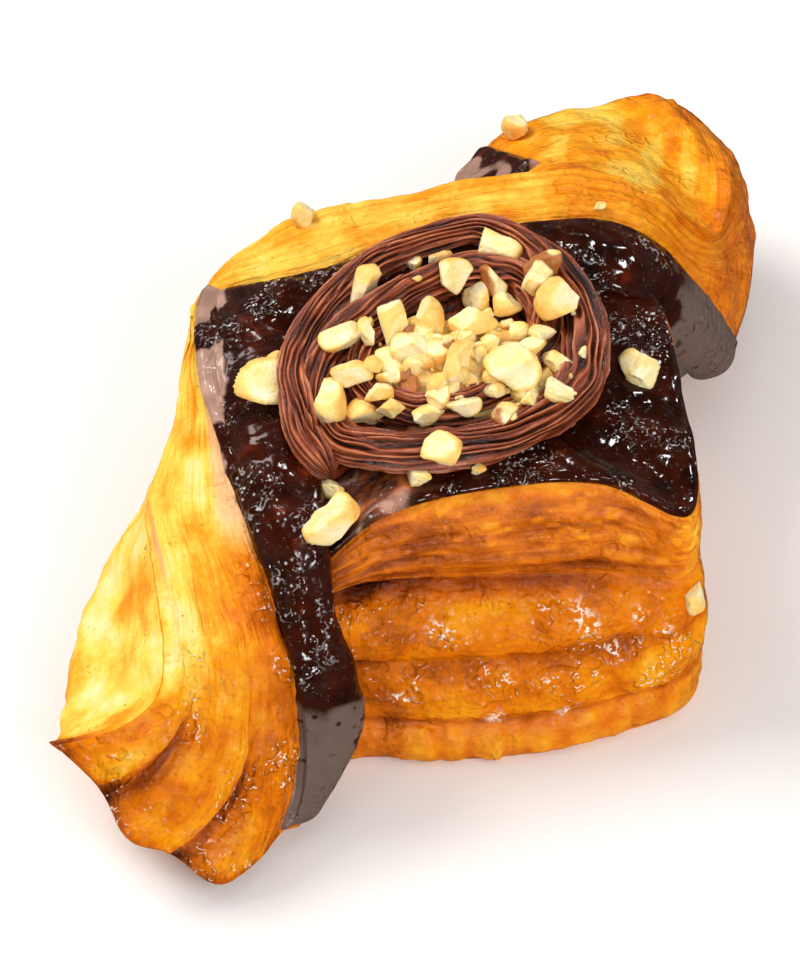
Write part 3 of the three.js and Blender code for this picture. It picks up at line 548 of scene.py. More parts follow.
def dough_material(colours):
    """Baked laminated dough under a wet glaze. The bake attribute picks the colour from cream to brown, wet is
    how much glaze lies on it, and layered how clearly its layers show. Pale flecks on the puckers' crests and
    beads in the wet clusters are partly dried glaze and partly painted highlights of the wet glaze; crackle
    spots paint more of them where glints stand."""
    paint = Paint("laminated_dough", colours, subsurface_weight=0.05, subsurface_scale=0.8 * MM,
                  subsurface_radius=(1.0, 0.45, 0.15), specular_ior_level=0.17)
    bake = paint.attribute("bake")
    wet = paint.attribute("wet")
    along = paint.attribute("flow", vector=True)
    place = paint.place()
    blotch = paint.grain(place, 5.5, 4.0)
    mottle = paint.grain(paint.stretched(along, (0.4, 1.0, 1.0)), 2.4, 3.0, 0.6)
    speck = paint.grain(place, 0.9, 3.0)
    lines = paint.grain(paint.stretched(along, (0.08, 1.0, 0.5)), 1.1, 3.0, 0.6) * paint.attribute("layered")
    tone = bake + blotch * 0.5 + mottle * 0.34 + lines * 0.34 + speck * 0.16
    colour = paint.ramp(tone, (0.0, "cream_dough"), (0.22, "pale_dough"), (0.42, "gold_dough"),
                        (0.6, "amber_dough"), (0.8, "brown_dough"), (1.0, "dark_dough"))
    colour = paint.mix(colour, "peach_tint_and_sheen_dough", paint.attribute("blush"))
    dots = paint.patches(place, 0.55, 0.66, 0.72) * paint.patches(place, 5.0, 0.5, 0.62)
    colour = paint.mix(colour, "dark_dough", dots * (1 - bake.within(0.3, 0.4)) * 0.7)
    # Painted highlights: pale flecks on the crests and beads in the wet clusters stand in for glints of the wet
    # glaze, mixed with pale dried glaze.
    pucker = paint.crests(place, 2.1)
    clusters = paint.patches(place, 7.5, 0.5, 0.62)
    beads = paint.beads(place, 1.0, 0.1, 0.26)
    glaze_flecks_and_glints = pucker.within(0.84, 0.96) * paint.patches(place, 1.1, 0.54, 0.6) * 0.8 + beads * 0.8
    glint_crackle_flecks = paint.attribute("crackle") * paint.patches(place, 0.9, 0.5, 0.58, 2.0, 0.6)
    glaze_flecks_and_glints = glaze_flecks_and_glints * clusters * wet.within(0.5, 0.9) + glint_crackle_flecks
    colour = paint.mix(colour, "glaze", (glaze_flecks_and_glints * 0.85).within(0.0, 1.0))
    height = mottle * 0.5 + lines * 0.3 + paint.grain(place, 2.3, 1.5) * wet
    height = height + pucker.within(0.2, 1.0) * wet * (0.1 + clusters * 0.3) + beads * wet * 0.15
    gloss = (wet * 1.15 + blotch - 0.1).within(0.2, 0.8)
    return paint.finish(base_color=colour, roughness=0.5 - gloss * 0.41, normal=paint.bump(height))


def skin_material(colours):
    """Glossy chocolate dough, near black, with wrinkles and clusters of beads whose lit tops are painted
    highlights. The attribute thin makes it browner and calm keeps it free of beads; a dullness attribute makes
    it rougher and lays a painted grey reflection on it, and a reflection attribute paints the pale mauve
    reflection of smooth glaze."""
    paint = Paint("chocolate_skin", colours, specular_ior_level=0.3)
    place = paint.place()
    dull = paint.attribute("dull")
    rough_part = 1 - paint.attribute("calm")
    blotch = paint.grain(place, 4.5, 4.0)
    wrinkle = paint.grain(place, 2.9, 1.5, 0.5)
    tone = blotch * 0.9 + wrinkle * 0.5 + 0.36 + paint.attribute("thin") * 0.5
    colour = paint.ramp(tone, (0.15, "dark_skin"), (0.5, "brown_skin"), (0.72, "red_skin"),
                        (0.86, "amber_dough"), (1.0, "gold_dough"))
    # Painted reflection: a grey sheen where the glaze is dull, standing in for the surroundings mirrored in it.
    colour = paint.mix(colour, "painted_sheen", (dull + blotch * 0.5).within(0.35, 0.85) * 0.75)
    # Painted reflection: the pale mauve of smooth glaze.
    colour = paint.mix(colour, "film", paint.attribute("film"))
    clusters = paint.patches(place, 8.0, 0.5, 0.6)
    pucker = paint.crests(place, 2.4)
    beads = paint.beads(place, 1.15, 0.1, 0.3)
    # Painted highlights: lit beads and crests in the clusters.
    painted_glints = pucker.within(0.8, 0.96) * paint.patches(place, 1.5, 0.5, 0.58) * 0.5 + beads * 0.9
    colour = paint.mix(colour, "painted_glint", (painted_glints * clusters * rough_part * 0.8).within(0.0, 1.0))
    height = wrinkle * rough_part * (0.35 + clusters * 0.9) + pucker.within(0.2, 1.0) * clusters * 0.2
    height = height + beads * rough_part * 0.25
    return paint.finish(base_color=colour, roughness=0.1 + dull * 0.22 + blotch * 0.1,
                        normal=paint.bump(height))


def cream_material(colours):
    """Piped chocolate cream with painted shade in the grooves between its fine ridges and a painted reddish
    satin highlight on top of them.
    """
    paint = Paint("chocolate_cream", colours, specular_ior_level=0.45)
    place = paint.place()
    along = paint.attribute("flow", vector=True)
    streak = paint.grain(paint.stretched(along, (0.16, 1.4, 1.0)), 1.0, 3.0)
    speck = paint.grain(place, 0.7, 2.0)
    # Painted shade and highlight: the ridge attribute darkens the grooves and lightens the ridges' tops, over
    # the grooves that the mesh really has.
    tone = paint.attribute("ridge") * 0.8 + streak * 0.6 + speck * 0.16 + paint.grain(place, 4.0, 2.0) * 0.3
    colour = paint.ramp(tone, (0.08, "groove_shade_cream"), (0.5, "mid_cream"), (1.0, "crest_highlight_cream"))
    return paint.finish(base_color=colour, roughness=0.34 + speck * 0.2,
                        normal=paint.bump(streak * 0.4 + speck * 0.14))


def nut_material(colours):
    """Chopped hazelnut: pale on the cut faces, golden on the outer ones, with rags of brown skin."""
    paint = Paint("chopped_hazelnut", colours, subsurface_weight=0.3, subsurface_scale=1.0 * MM,
                  subsurface_radius=(1.0, 0.65, 0.3), coat_weight=0.12, coat_roughness=0.3)
    place = paint.place()
    blotch = paint.grain(place, 2.6, 3.0)
    speck = paint.grain(place, 0.5, 3.0)
    tone = 0.6 - paint.attribute("cut") * 0.35 + blotch * 0.8 + speck * 0.16
    colour = paint.ramp(tone, (0.0, "nut_cut"), (0.4, "nut_pale"), (0.85, "nut_gold"))
    colour = paint.mix(colour, "nut_skin", (paint.attribute("skin") + blotch * 0.5).within(0.55, 0.7))
    height = speck * 0.2 + paint.grain(place, 1.4, 2.0) * 0.25
    return paint.finish(base_color=colour, roughness=0.45 + speck * 0.2, normal=paint.bump(height))


# ---------------------------------------------------------------- dough: wings


def face(p, q, s, bow, middle):
    """A line from corner p to corner q, bowed by sin(pi s) away from the middle of the section."""
    along = unit(q - p)
    out = (p + q) / 2 - middle
    out = unit(out - along * (out * along).sum(-1, keepdims=True))
    return lerp(p, q, s[..., None]) + out * (bow * np.sin(np.pi * s))[..., None]


def wing_corners(wing, t):
    """The four corners of a wing's section."""
    return [through(wing[key], t) for key in ("dark_inner", "dark_outer", "ridge", "rim")]


def wing_middle(wing, t):
    return sum(wing_corners(wing, t)) / 4 - (0, 0, 2)


def lobe_places(t, s):
    """Distance across the cut side from each edge between two lobes of a tip; it is positive on the lobe that
    lies on top."""
    return [s - lerp(start, end, rise(t, 0.78, 0.22)) for start, end in LOBE_EDGES]


def lobes(t, s, reach=0.1, step=0.034):
    """Height of a tip's three lobes: each one dives below the edge of the next, which stands up as a step."""
    total = 0.0
    for u in lobe_places(t, s):
        below = -np.exp(np.minimum(u, 0) / reach)
        above = 0.5 * np.exp(-np.maximum(u, 0) / reach)
        total = total + lerp(below, above, smooth(u / step + 0.5))
    return total * rise(t, 0.6, 0.25)


def cut_side(wing, t, s, b, c, middle):
    """The cut side from the chocolate's edge (s = 0) to the ridge (s = 1): layers are waves across it,
    the tip is parted into three lobes, and the last third swings out to the tip's own edge."""
    layers = np.sin(np.pi * (2 * LAYERS * s - 0.5) + 0.8 * np.sin(9 * t)) * (1 - 0.6 * rise(t, 0.6, 0.2))
    relief = LAYER_DEPTH * layers + LOBE_DEPTH * wing["lobes"] * lobes(t, s)
    relief = relief * np.minimum(1, np.minimum(6 * s, 6 * (1 - s)))
    plain = face(b, c, s, CUT_BOW, middle)
    full = face(b, c, s, (CUT_BOW + relief) / np.maximum(np.sin(np.pi * s), 0.2), middle)
    edge = between(TIP_EDGE_AT, wing["tip_edge"], s)
    start, end = (np.asarray(wing[key][-1], float) for key in ("dark_outer", "ridge"))
    straight = lerp(start, end, s[..., None])
    swing = rise(t, 0.66, 0.34)[..., None]
    return plain + (full - plain) * (1 - 0.4 * rise(t, 0.9, 0.1))[..., None] + (edge - straight) * swing


def wing_corner(wing, t, q):
    """Point of a wing's section polygon: four faces of t along the wing and q round the section."""
    a, b, c, d = wing_corners(wing, t)
    middle = wing_middle(wing, t)
    foot = through(wing["foot_height"], t)[..., 0]
    turn = np.mod(q, 1)
    dark = face(a, b, turn / DARK_END, DARK_BOW, middle)
    s = np.clip((turn - DARK_END) / (CUT_END - DARK_END), 0, 1)
    cut = cut_side(wing, t, s, b, c, middle)
    inner = face(c, d, (turn - CUT_END) / (INNER_END - CUT_END), through(wing["inner_bow"], t)[..., 0], middle)
    outer_foot = lerp(d, a, 0.16)
    inner_foot = lerp(d, a, 0.88)
    outer_foot[..., 2] = np.minimum(foot, d[..., 2] - 1)
    inner_foot[..., 2] = np.maximum(1, np.minimum(foot, a[..., 2] - 2))
    s = (3 * (turn - INNER_END) / (1 - INNER_END))[..., None]
    under = np.select([s < 1, s < 2], [lerp(d, outer_foot, s), lerp(outer_foot, inner_foot, s - 1)],
                      lerp(inner_foot, a, s - 2))
    turn = turn[..., None]
    return np.select([turn < DARK_END, turn < CUT_END, turn < INNER_END], [dark, cut, inner], under)


def wing_point(wing, t, q):
    """The polygon with its corners rounded, as the mean of five places near q, and a round start."""
    t, q = np.broadcast_arrays(t, q)
    here = sum(wing_corner(wing, t, q + CORNER_ROUND * k) for k in range(-2, 3)) / 5
    start = 1 - np.clip(t / START_ROUND, 0, 1)
    return lerp(wing_middle(wing, t), here, np.sqrt(1 - 0.96 * start * start)[..., None])


def lamination(t, s, seed):
    """Relief of the dough's layers from -1 to 1: noise drawn out along the wing, so that it makes long lines,
    sharpened by 1 - 2|noise|, coarse and fine together."""
    place = flow(t * WING_LENGTH / 26, s * 30, 0 * s + seed)
    bent = place + flow(0 * s, 0.8 * surface_noise(t * 6, s * 4, 1.0, seed + 3), 0 * s)
    coarse = 1 - 2 * np.abs(noise(bent, 2.3, seed))
    fine = 1 - 2 * np.abs(noise(bent, 0.95, seed + 1))
    return 0.6 * coarse + 0.4 * fine


def wing_grid(wing, seed, rows=290, counts=(60, 150, 76, 30)):
    """Points and parameters of a wing. Its relief along the normal is the layers' lines on the cut
    side, soft puckers on the inner face, and small blisters all over; the tip closes over a round edge."""
    t = np.linspace(0, 1, rows)[:, None]
    q = spread((0, DARK_END, CUT_END, INNER_END, 1), counts)[None, :]
    t, q = np.broadcast_arrays(t, q)
    points = wing_point(wing, t, q)
    normals = grid_normals(points, around=True)
    s = np.clip((q - DARK_END) / (CUT_END - DARK_END), 0, 1)
    v = np.clip((q - CUT_END) / (INNER_END - CUT_END), 0, 1)
    on_cut = np.sin(np.pi * s) ** 0.35 * (s > 0) * (s < 1)
    on_inner = np.sin(np.pi * v) ** 0.5 * (v > 0) * (v < 1)
    lines = lamination(t, s, seed)
    puckers = surface_noise(t * WING_LENGTH / 5.5, v * 1.6, 1.0, seed + 5)
    blisters = rough(points, 6.0, seed + 9, 4)
    depth = 0.1 * wing["lines"] * lines * on_cut + 0.4 * puckers * on_inner + 0.52 * blisters
    depth = depth + 1.5 * wing["lobes"] * lobes(t, s, 0.05, 0.016) * on_cut
    depth *= smooth(t / 0.05) * fall(t, 1, 0.02)
    return points + normals * depth[..., None], t, q, s, v, lines


def rounded_tip(points, values, steps=7):
    """More rings that shrink to the last ring's middle, each a little further out, and the same for values."""
    last = points[-1]
    ahead = unit(last.mean(0) - points[-6].mean(0))
    rings = [lerp(last, last.mean(0), 1 - math.cos(0.5 * math.pi * k / steps)) +
             ahead * 0.7 * math.sin(0.5 * math.pi * k / steps) for k in range(1, steps)]
    grown = {key: np.concatenate([v, np.repeat(v[-1:], steps - 1, 0)]) for key, v in values.items()}
    return np.concatenate([points, rings]), grown


def write_wing(name, wing, seed, bake_of, material):
    """A wing's closed mesh; bake_of gives the material's attributes from t, s, v and the points."""
    points, t, q, s, v, lines = wing_grid(wing, seed)
    values = bake_of(t, s, v, points)
    values["bake"] = values["bake"] - 0.05 * lines * (s > 0) * (s < 1)
    values["flow"] = flow(t * WING_LENGTH, q * WING_GIRTH, 0 * t)
    points, values = rounded_tip(points, values)
    finish_piece(write_tube(name, points, **values), material, "dough", "dough")


def left_bake(t, s, v, points):
    """Bake of the left wing. The cut side runs from orange beside the chocolate to cream at the ridge, and is
    peach near the wing's start, where the peach tint is partly a painted sheen of the wet glaze along the
    chocolate; the tip's lobes are orange, with painted shade in the groove below each lobe's edge and a painted
    highlight on the edge; the inner face is pale, with a yellow patch near its top."""
    cut = (s > 0) & (s < 1)
    inner = (v > 0) & (v < 1)
    wavy = s + 0.05 * surface_noise(t * 7, s * 3, 1.0, 23)
    mid = between((0, 0.14, 0.3, 0.48, 0.62, 0.8, 0.93, 1),
                  (0.76, 0.68, 0.6, 0.5, 0.44, 0.2, 0.12, 0.26), wavy)[..., 0]
    top = 0.26 + 0.12 * noise(points, 4.0, 24) + 0.2 * bell(s, 0.55, 0.06) * fall(t, 0.3, 0.1)
    # Painted shade and highlight: darker in the groove below each lobe's edge, lighter on the edge itself.
    groove_shade_and_edge_light = sum(bell(u, -0.035, 0.04) - 0.5 * bell(u, 0.035, 0.04) for u in lobe_places(t, s))
    tip = 0.6 + 0.1 * noise(points, 6.0, 25) + 0.05 * noise(points, 1.6, 27)
    tip = tip + 0.3 * groove_shade_and_edge_light * rise(t, 0.7, 0.15)
    bake = lerp(lerp(top, mid, rise(t, 0.36, 0.16)), tip, rise(t, 0.68, 0.12))
    bake = bake + 0.25 * bell(t, 1.0, 0.03)
    # A darker, redder line along the ridge at mid-wing, also tinted peach.
    dark_red_line = bell(s, 0.93, 0.025) * bell(t, 0.46, 0.07)
    yellow = bell(t, 0.5, 0.075) * fall(v, 0.75, 0.3)
    edge = rise(v, 0.7, 0.3)
    leaf = 0.2 + 0.2 * yellow + 0.14 * edge + 0.16 * surface_noise(t * 16, v * 4, 1.0, 21)
    leaf = leaf + 0.07 * rise(t, 0.66, 0.1) + 0.4 * rise(t, 0.87, 0.1)
    bake = np.where(inner, leaf, np.where(cut, bake + 0.3 * dark_red_line, 0.55))
    # The peach tint near the start, along the chocolate, is partly a painted sheen of wet glaze.
    blush = 0.8 * fall(t, 0.46, 0.1) * fall(wavy, 0.36, 0.2) * cut + 0.6 * dark_red_line
    wet = np.where(inner, 0.1, 0.4 + 0.6 * rise(t, 0.55, 0.15) + 0.4 * bell(s, 0.1, 0.15))
    layered = 0.2 + 0.3 * bell(t, 0.6, 0.2) * cut
    return {"bake": bake, "wet": wet, "blush": blush, "layered": layered, "crackle": 0 * t}


def back_bake(t, s, v, points):
    """Bake of the back wing: mottled gold behind the cream, orange with long lines along the roll, and pale
    streaks across the ear, whose far rim is darker."""
    cut = (s > 0) & (s < 1)
    inner = (v > 0) & (v < 1)
    right = rise(t, 0.3, 0.15)
    bake = 0.36 + 0.16 * right + 0.12 * noise(points, 4.0, 31) * (1 - right) + 0.1 * rise(t, 0.62, 0.1)
    streaks = smooth((noise(points * (0.4, 0.07, 0.07), 1.0, 33) + 0.15) / 0.6)
    fold = smooth((t - 0.86 + 0.03 * v) / 0.02) * fall(t, 1.02, 0.06)
    ear = 0.48 - 0.17 * streaks * (1 - fold) + 0.08 * fold + 0.1 * noise(points, 6.0, 35)
    bake = np.where(inner, ear, np.where(cut, bake, 0.6))
    wet = np.where(inner, 0.6, 0.35 + 0.2 * right)
    return {"bake": bake + 0.2 * bell(t, 1.0, 0.02), "wet": wet, "blush": 0 * t, "crackle": 0 * t,
            "layered": 0.15 + 0.35 * right * cut - 0.15 * inner}


# ---------------------------------------------------------------- dough: block


def block_side(q, level):
    """Point on the side of the block: the outline blends from the floor's to the top's with height, and stands
    out from the block's middle by the side's profile."""
    edge = through(BLOCK_EDGE, q, closed=True)[..., 0]
    crease = through(BLOCK_CREASE, q, closed=True)[..., 0]
    z = crease * np.minimum(level, 1) + (edge - crease) * np.maximum(level - 1, 0)
    here = lerp(through(BLOCK_FLOOR, q, True), through(BLOCK_TOP, q, True), (z / edge)[..., None])
    out = unit(here - BLOCK_MIDDLE)
    stand = sum(between(SIDE_LEVEL, SIDE_OUT, level + 0.012 * k)[..., 0] for k in range(-2, 3)) / 5
    stand = stand * through(BLOCK_BULGE, q, True)[..., 0]
    return np.concatenate([here + out * stand[..., None], z[..., None]], -1)


def block_top(q, ring):
    """Point on the top of the block, on a line from its middle (ring = 0) to its edge (ring = 1)."""
    middle = np.array([*BLOCK_MIDDLE, TOP_HEIGHT])
    here = lerp(middle, block_side(q, 2 + 0 * ring), ring[..., None])
    here[..., 2] += 0.6 * np.sin(np.pi * ring)
    return here


def block_grid():
    """Rings from the middle of the underside over the side to the middle of the top."""
    q = spread((0, 0.06, 0.46, 0.62, 1), (20, 230, 40, 40))[None, :]
    under = np.linspace(0.3, 0.95, 4)
    level = np.concatenate([np.linspace(0, 0.3, 40, endpoint=False), np.linspace(0.3, 0.9, 66, endpoint=False),
                            np.linspace(0.9, 1.1, 34, endpoint=False), np.linspace(1.1, 2, 76)])
    ring = np.linspace(0.97, 0.1, 26)
    foot = block_side(q, 0 * q)
    base = lerp(np.array([*BLOCK_MIDDLE, 0.0]), foot, under[:, None, None])
    side = block_side(*np.broadcast_arrays(q, level[:, None]))
    top = block_top(*np.broadcast_arrays(q, ring[:, None]))
    points = np.concatenate([base, side, top])
    levels = np.concatenate([0 * under - 1, level, 2 + (1 - ring)])[:, None]
    q, levels = np.broadcast_arrays(q, levels)
    return points, q, levels


def spot(girth, level, x, y, x_reach, y_reach):
    """1 at a place on the block's side, falling to 0 round it."""
    return bell(girth, x, x_reach) * bell(level, y, y_reach)


def write_block(material):
    """The base slab and the strip that lies on it. Relief along the normal: fine level ridges on the strip,
    puffs and a dimple on the slab's lobes, upright ripples on the bottom lip."""
    points, q, level = block_grid()
    normals = grid_normals(points, around=True)
    girth = q * BLOCK_GIRTH
    strip = rise(level, 1.04, 0.06) * fall(level, 2.0, 0.1)
    lobe = rise(level, 0.27, 0.06) * fall(level, 0.98, 0.05)
    lip = smooth(level / 0.02) * fall(level, 0.27, 0.04)
    bent = level + 0.05 * surface_noise(girth, level * 12, 11.0, 41)
    ridges = np.sin(2 * np.pi * 4.6 * (bent - 1.02)) * (0.6 + 0.7 * surface_noise(girth, level * 20, 8.0, 43))
    fine = 1 - 2 * np.abs(surface_noise(girth / 7, bent * 30, 1.5, 47))
    puffs = rough(points, 7.0, 51, 4)
    ripples = surface_noise(girth, level * 8, 1.6, 57)
    flecks = smooth((surface_noise(girth / 2.6, level * 15, 1.0, 61) - 0.1) / 0.35)
    dimple, hole, lump = (spot(girth, level, *row) for row in (DIMPLE, HOLE, LUMP))
    wrinkles = (1 - np.abs(noise(points, 3.4, 58)) * 2) * smooth(noise(points, 9.0, 59) + 0.6)
    depth = strip * (0.16 * ridges + 0.06 * fine + 0.24 * puffs)
    depth = depth + lobe * (0.62 * puffs + 0.32 * wrinkles - 1.0 * dimple + 1.3 * lump) + lip * 0.6 * ripples
    depth = depth + 0.16 * rough(points, 3.0, 53, 3) * (level > 0.02) - 1.4 * hole
    points = points + normals * depth[..., None]
    points[..., 2] = np.maximum(points[..., 2], 0)
    # Painted shade: the bake is darker in the creases (most at the left end of the top crease), in the hole, in
    # the dimple and towards the front's left end.
    crease = bell(level, 1.0, 0.035) * (1 - 0.7 * rise(girth, 48, 14)) + 0.5 * bell(level, 0.66, 0.05)
    crease = crease + 0.6 * bell(level, 0.275, 0.025)
    bake = 0.54 + 0.17 * strip + 0.02 * lobe + 0.3 * crease - 0.06 * ridges * strip - 0.04 * fine * strip
    bake = bake - 0.02 * lip - 0.09 * puffs * (lobe + strip) + 0.35 * hole + 0.1 * fall(girth, 30, 12)
    bake = bake - 0.13 * flecks * strip * rise(level, 1.1, 0.5) - 0.12 * ripples * lip
    bake = bake - 0.12 * bell(girth, 76, 8) * strip + 0.15 * dimple - 0.16 * lump
    wet = 0.45 + 0.55 * lobe + 0.05 * strip
    # Crackle spots: pale dried glaze painted where glints stand on the front, a painted highlight.
    crackle = sum(spot(girth, level, *place, *CRACKLE_GLINT_REACH) for place in CRACKLE_GLINTS)
    values = {"bake": bake, "wet": wet, "blush": 0 * q, "layered": 0.15 + 0.3 * strip, "crackle": crackle,
              "flow": flow(girth, level * 22, 0 * q)}
    finish_piece(write_tube("block_fold", points, **values), material, "dough", "dough")


# ---------------------------------------------------------------- chocolate skin


def raise_skin(points, normals, edge, relief):
    """Outer and inner sheet of a skin: the outer one rises along a quarter circle from the edge, where edge is
    the distance from the rim in mm, and carries the relief; both lie sunk in the dough at the rim."""
    climb = np.sqrt(1 - (1 - np.clip(edge / 1.6, 0, 1)) ** 2)
    height = lerp(-SKIN_SINK, SKIN_STAND, climb) + relief * climb
    return points + normals * height[..., None], points - normals * (SKIN_SINK + 0.4 * climb)[..., None]


def skin_relief(points, seed):
    """Low swells and wrinkles in the glaze."""
    return 0.4 * rough(points, 5.5, seed, 2) + 0.1 * noise(points, 1.6, seed + 2)


def write_wing_skin(name, wing, seed, t_ends, edges_of, glaze_of, material, *nodes):
    """A skin on a wing between two wavy lines. edges_of gives the lines' places round the section, and glaze_of
    the material's attributes."""
    t = np.linspace(*t_ends, 300)[:, None]
    b = np.linspace(0, 1, 96)[None, :]
    q = lerp(*edges_of(t), b)
    t, b, q = np.broadcast_arrays(t, b, q)
    points = wing_point(wing, t, q)
    normals = grid_normals(points)
    if (normals * (points - wing_middle(wing, t))).sum() < 0:
        normals = -normals
    step = np.linalg.norm(np.diff(points, axis=1), axis=-1)
    across = np.concatenate([0 * step[:, :1], np.cumsum(step, 1)], 1)
    step = np.linalg.norm(np.diff(points, axis=0), axis=-1)
    along = np.concatenate([0 * step[:1], np.cumsum(step, 0)], 0)
    edge = np.minimum.reduce([across, across[:, -1:] - across, along, along[-1:] - along])
    values = glaze_of(t, b, q, points)
    relief = skin_relief(points, seed) * (1 - 0.7 * values["calm"])
    outer, inner = raise_skin(points, normals, edge, relief)
    finish_piece(write_shell(name, outer, inner, **values), material, "chocolate", *nodes)


def jagged(t, amount, seed):
    """A ragged edge line: coarse and fine noise along the wing."""
    place = flow(t * WING_LENGTH, 0 * t, 0 * t)
    parts = ((0.6, 6.0), (0.3, 1.7), (0.2, 0.7))  # strength and size
    return amount * sum(share * noise(place, size, seed + k) for k, (share, size) in enumerate(parts))


def left_edges(t):
    """The skin covers the ridge near the wing's start and draws back from it further on."""
    return -0.05 + 0 * t, DARK_END + 0.1 * fall(t, 0.4, 0.3) + jagged(t, 0.012, 303) * fall(t, 0.75, 0.2)


def left_glaze(t, b, q, points):
    """A painted pale reflection of smooth glaze with a ragged border along the outer edge near the wing's
    start, and a painted grey reflection on the tip.
    """
    border = 0.175 + 0.035 * jagged(t, 1.0, 341) + 0.1 * rise(t, 0.16, 0.2)
    film = rise(q, border, 0.006) * fall(t, 0.4, 0.05) * (0.8 + 0.35 * noise(points, 2.0, 347))
    film = film * smooth((noise(points, 3.4, 343) + 0.4 * noise(points, 1.1, 344) + 0.42) / 0.14)
    tip = rise(t + 0.04 * noise(points, 2.2, 349), 0.64, 0.06)
    tip = tip * (1 - 0.5 * rise(noise(points, 0.9, 355), 0.5, 0.3))
    matt = fall(t, 0.5, 0.1) * fall(b - 0.25 * noise(points, 4.0, 5), 0.62, 0.06)
    return {"thin": 0.14 * matt, "dull": 0.3 * matt * (1 - film) + 0.8 * tip, "film": 0.85 * film,
            "calm": np.maximum(film, 0.85 * tip)}


def back_edges(t):
    return -0.05 + 0 * t, DARK_END + jagged(t, 0.006, 313)


def back_glaze(t, b, q, points):
    """A painted grey reflection on the tip."""
    tip = rise(t + 0.04 * noise(points, 2.2, 351), 0.66, 0.08)
    tip = tip * (1 - 0.35 * rise(noise(points, 0.9, 357), 0.5, 0.3))
    return {"thin": 0 * t, "dull": 0.85 * tip, "calm": 0.8 * tip, "film": 0 * t}


def ear_edges(t):
    return 0.655 + jagged(t, 0.01, 323), 0.774 + jagged(t, 0.004, 325)


def ear_glaze(t, b, q, points):
    """A patchy painted reflection of smooth glaze."""
    film = rise(noise(points, 4.0, 345), 0.1, 0.15)
    return {"thin": 0.15 + 0 * t, "dull": 0 * t, "calm": 0.6 + 0 * t, "film": 0.6 * film}


def write_top_skin(material):
    """The skin on the block's top, a ring from its edge to below the cream. One patch of it is thin and
    browner, with a painted pale reflection along the creases of its glaze."""
    q = np.linspace(0, 1, 420, endpoint=False)[:, None]
    ring = np.linspace(1.0, 0.35, 110)[None, :]
    q, ring = np.broadcast_arrays(q, ring)
    points = block_top(q, ring)
    out = points - (*BLOCK_MIDDLE, 0)
    out[..., 2] = 0
    normals = unit(np.array((0, 0, 1)) + unit(out) * rise(ring, 0.93, 0.07)[..., None])
    reach = np.linalg.norm(points[:, :1] - (*BLOCK_MIDDLE, TOP_HEIGHT), axis=-1)
    outer, inner = raise_skin(points, normals, (1 - ring) * reach, skin_relief(points, 330))
    rows, columns = outer.shape[:2]

    def folded_back(sheet, under):
        return np.concatenate([sheet, under[:, ::-1]], 1)

    x, y = points[..., 0], points[..., 1]
    patch = smooth(1.5 - np.hypot((x + 22) / 5.5, (y - 9) / 4.5) + 0.5 * noise(points, 3.0, 7))
    # Painted reflection: pale rims along the glaze's creases in the thin patch.
    painted_rim_sheen = smooth(1 - np.abs(noise(points, 3.6, 353)) / 0.16) * patch
    patch, painted_rim_sheen = folded_back(patch, patch), folded_back(painted_rim_sheen, painted_rim_sheen)
    quads = tube_faces(rows + 1, 2 * columns)[0] % (rows * 2 * columns)
    piece = write_mesh("chocolate_top", folded_back(outer, inner), quads, thin=0.8 * patch, dull=0 * patch,
                       calm=0.3 * patch, film=0.15 * patch + 0.75 * painted_rim_sheen)
    finish_piece(piece, material, "chocolate", "chocolate_skin")


# ---------------------------------------------------------------- cream


def strand_grid(path, height, seed, rows=420, columns=230):
    """A folded strand: a round section is carried along a plan path that also gives its radius. Its pleats rise
    steeply and fall slowly, crowd and part. The strand's ends are drawn in and lie lower."""
    t = np.linspace(0, 1, rows)[:, None]
    turn = (2 * np.pi * np.arange(columns) / columns)[None, :]
    here = through(path, t[:, 0])
    ahead = unit((through(path, t[:, 0] + 0.01) - through(path, t[:, 0] - 0.01))[:, :2])
    side = np.stack([ahead[:, 1], -ahead[:, 0]], -1)
    ends = 0.25 + 0.75 * np.sqrt(1 - (1 - np.clip(np.minimum(t, 1 - t) / DRAWN_OVER, 0, 1)) ** 2)
    long = t * STRAND_LENGTH
    drop = START_DROP * (1 - np.minimum(1, t / DROP_OVER)) + END_DROP * (1 - np.minimum(1, (1 - t) / DROP_OVER))
    level = height - drop + 0.5 * surface_noise(long, 0 * t, 22.0, seed + 9)
    wander = 0.5 * surface_noise(long, 0 * t, 18.0, seed) + 0.1 * surface_noise(long, 0 * t, 3.5, seed + 1)

    twisted = turn + wander

    def drawn_out(length, cells, key):
        """Noise in long grains along the strand."""
        return noise(flow(long / length, np.cos(twisted) * cells, np.sin(twisted) * cells), 1.0, seed + key)

    place = twisted * PLEATS / (2 * np.pi) + 1.1 * drawn_out(12, 1.6, 2) + 0.5 * drawn_out(4, 2.4, 5)
    share = np.mod(place, 1)
    pleat = np.where(share < 0.3, share / 0.3, (1 - share) / 0.7)
    pleat = pleat * (0.72 + 0.28 * drawn_out(8, 4.0, 4)) + 0.3 * (1 - 2 * np.abs(drawn_out(7, 5.0, 3)))
    pleat = np.clip(pleat, 0, 1)
    swell = 0.08 * noise(flow(long / 9, np.cos(turn) * 1.5, np.sin(turn) * 1.5), 1.0, seed + 6)
    r = here[:, 2:] * ends * (1.08 + swell - 0.3 * (1 - pleat))
    across = r * np.cos(turn)
    x = here[:, :1] + side[:, :1] * across
    y = here[:, 1:2] + side[:, 1:] * across
    points = flow(x, y, level + STRAND_UPRIGHT * r * np.sin(turn))
    return points, pleat, flow(long, 3.5 * turn, 0 * pleat)


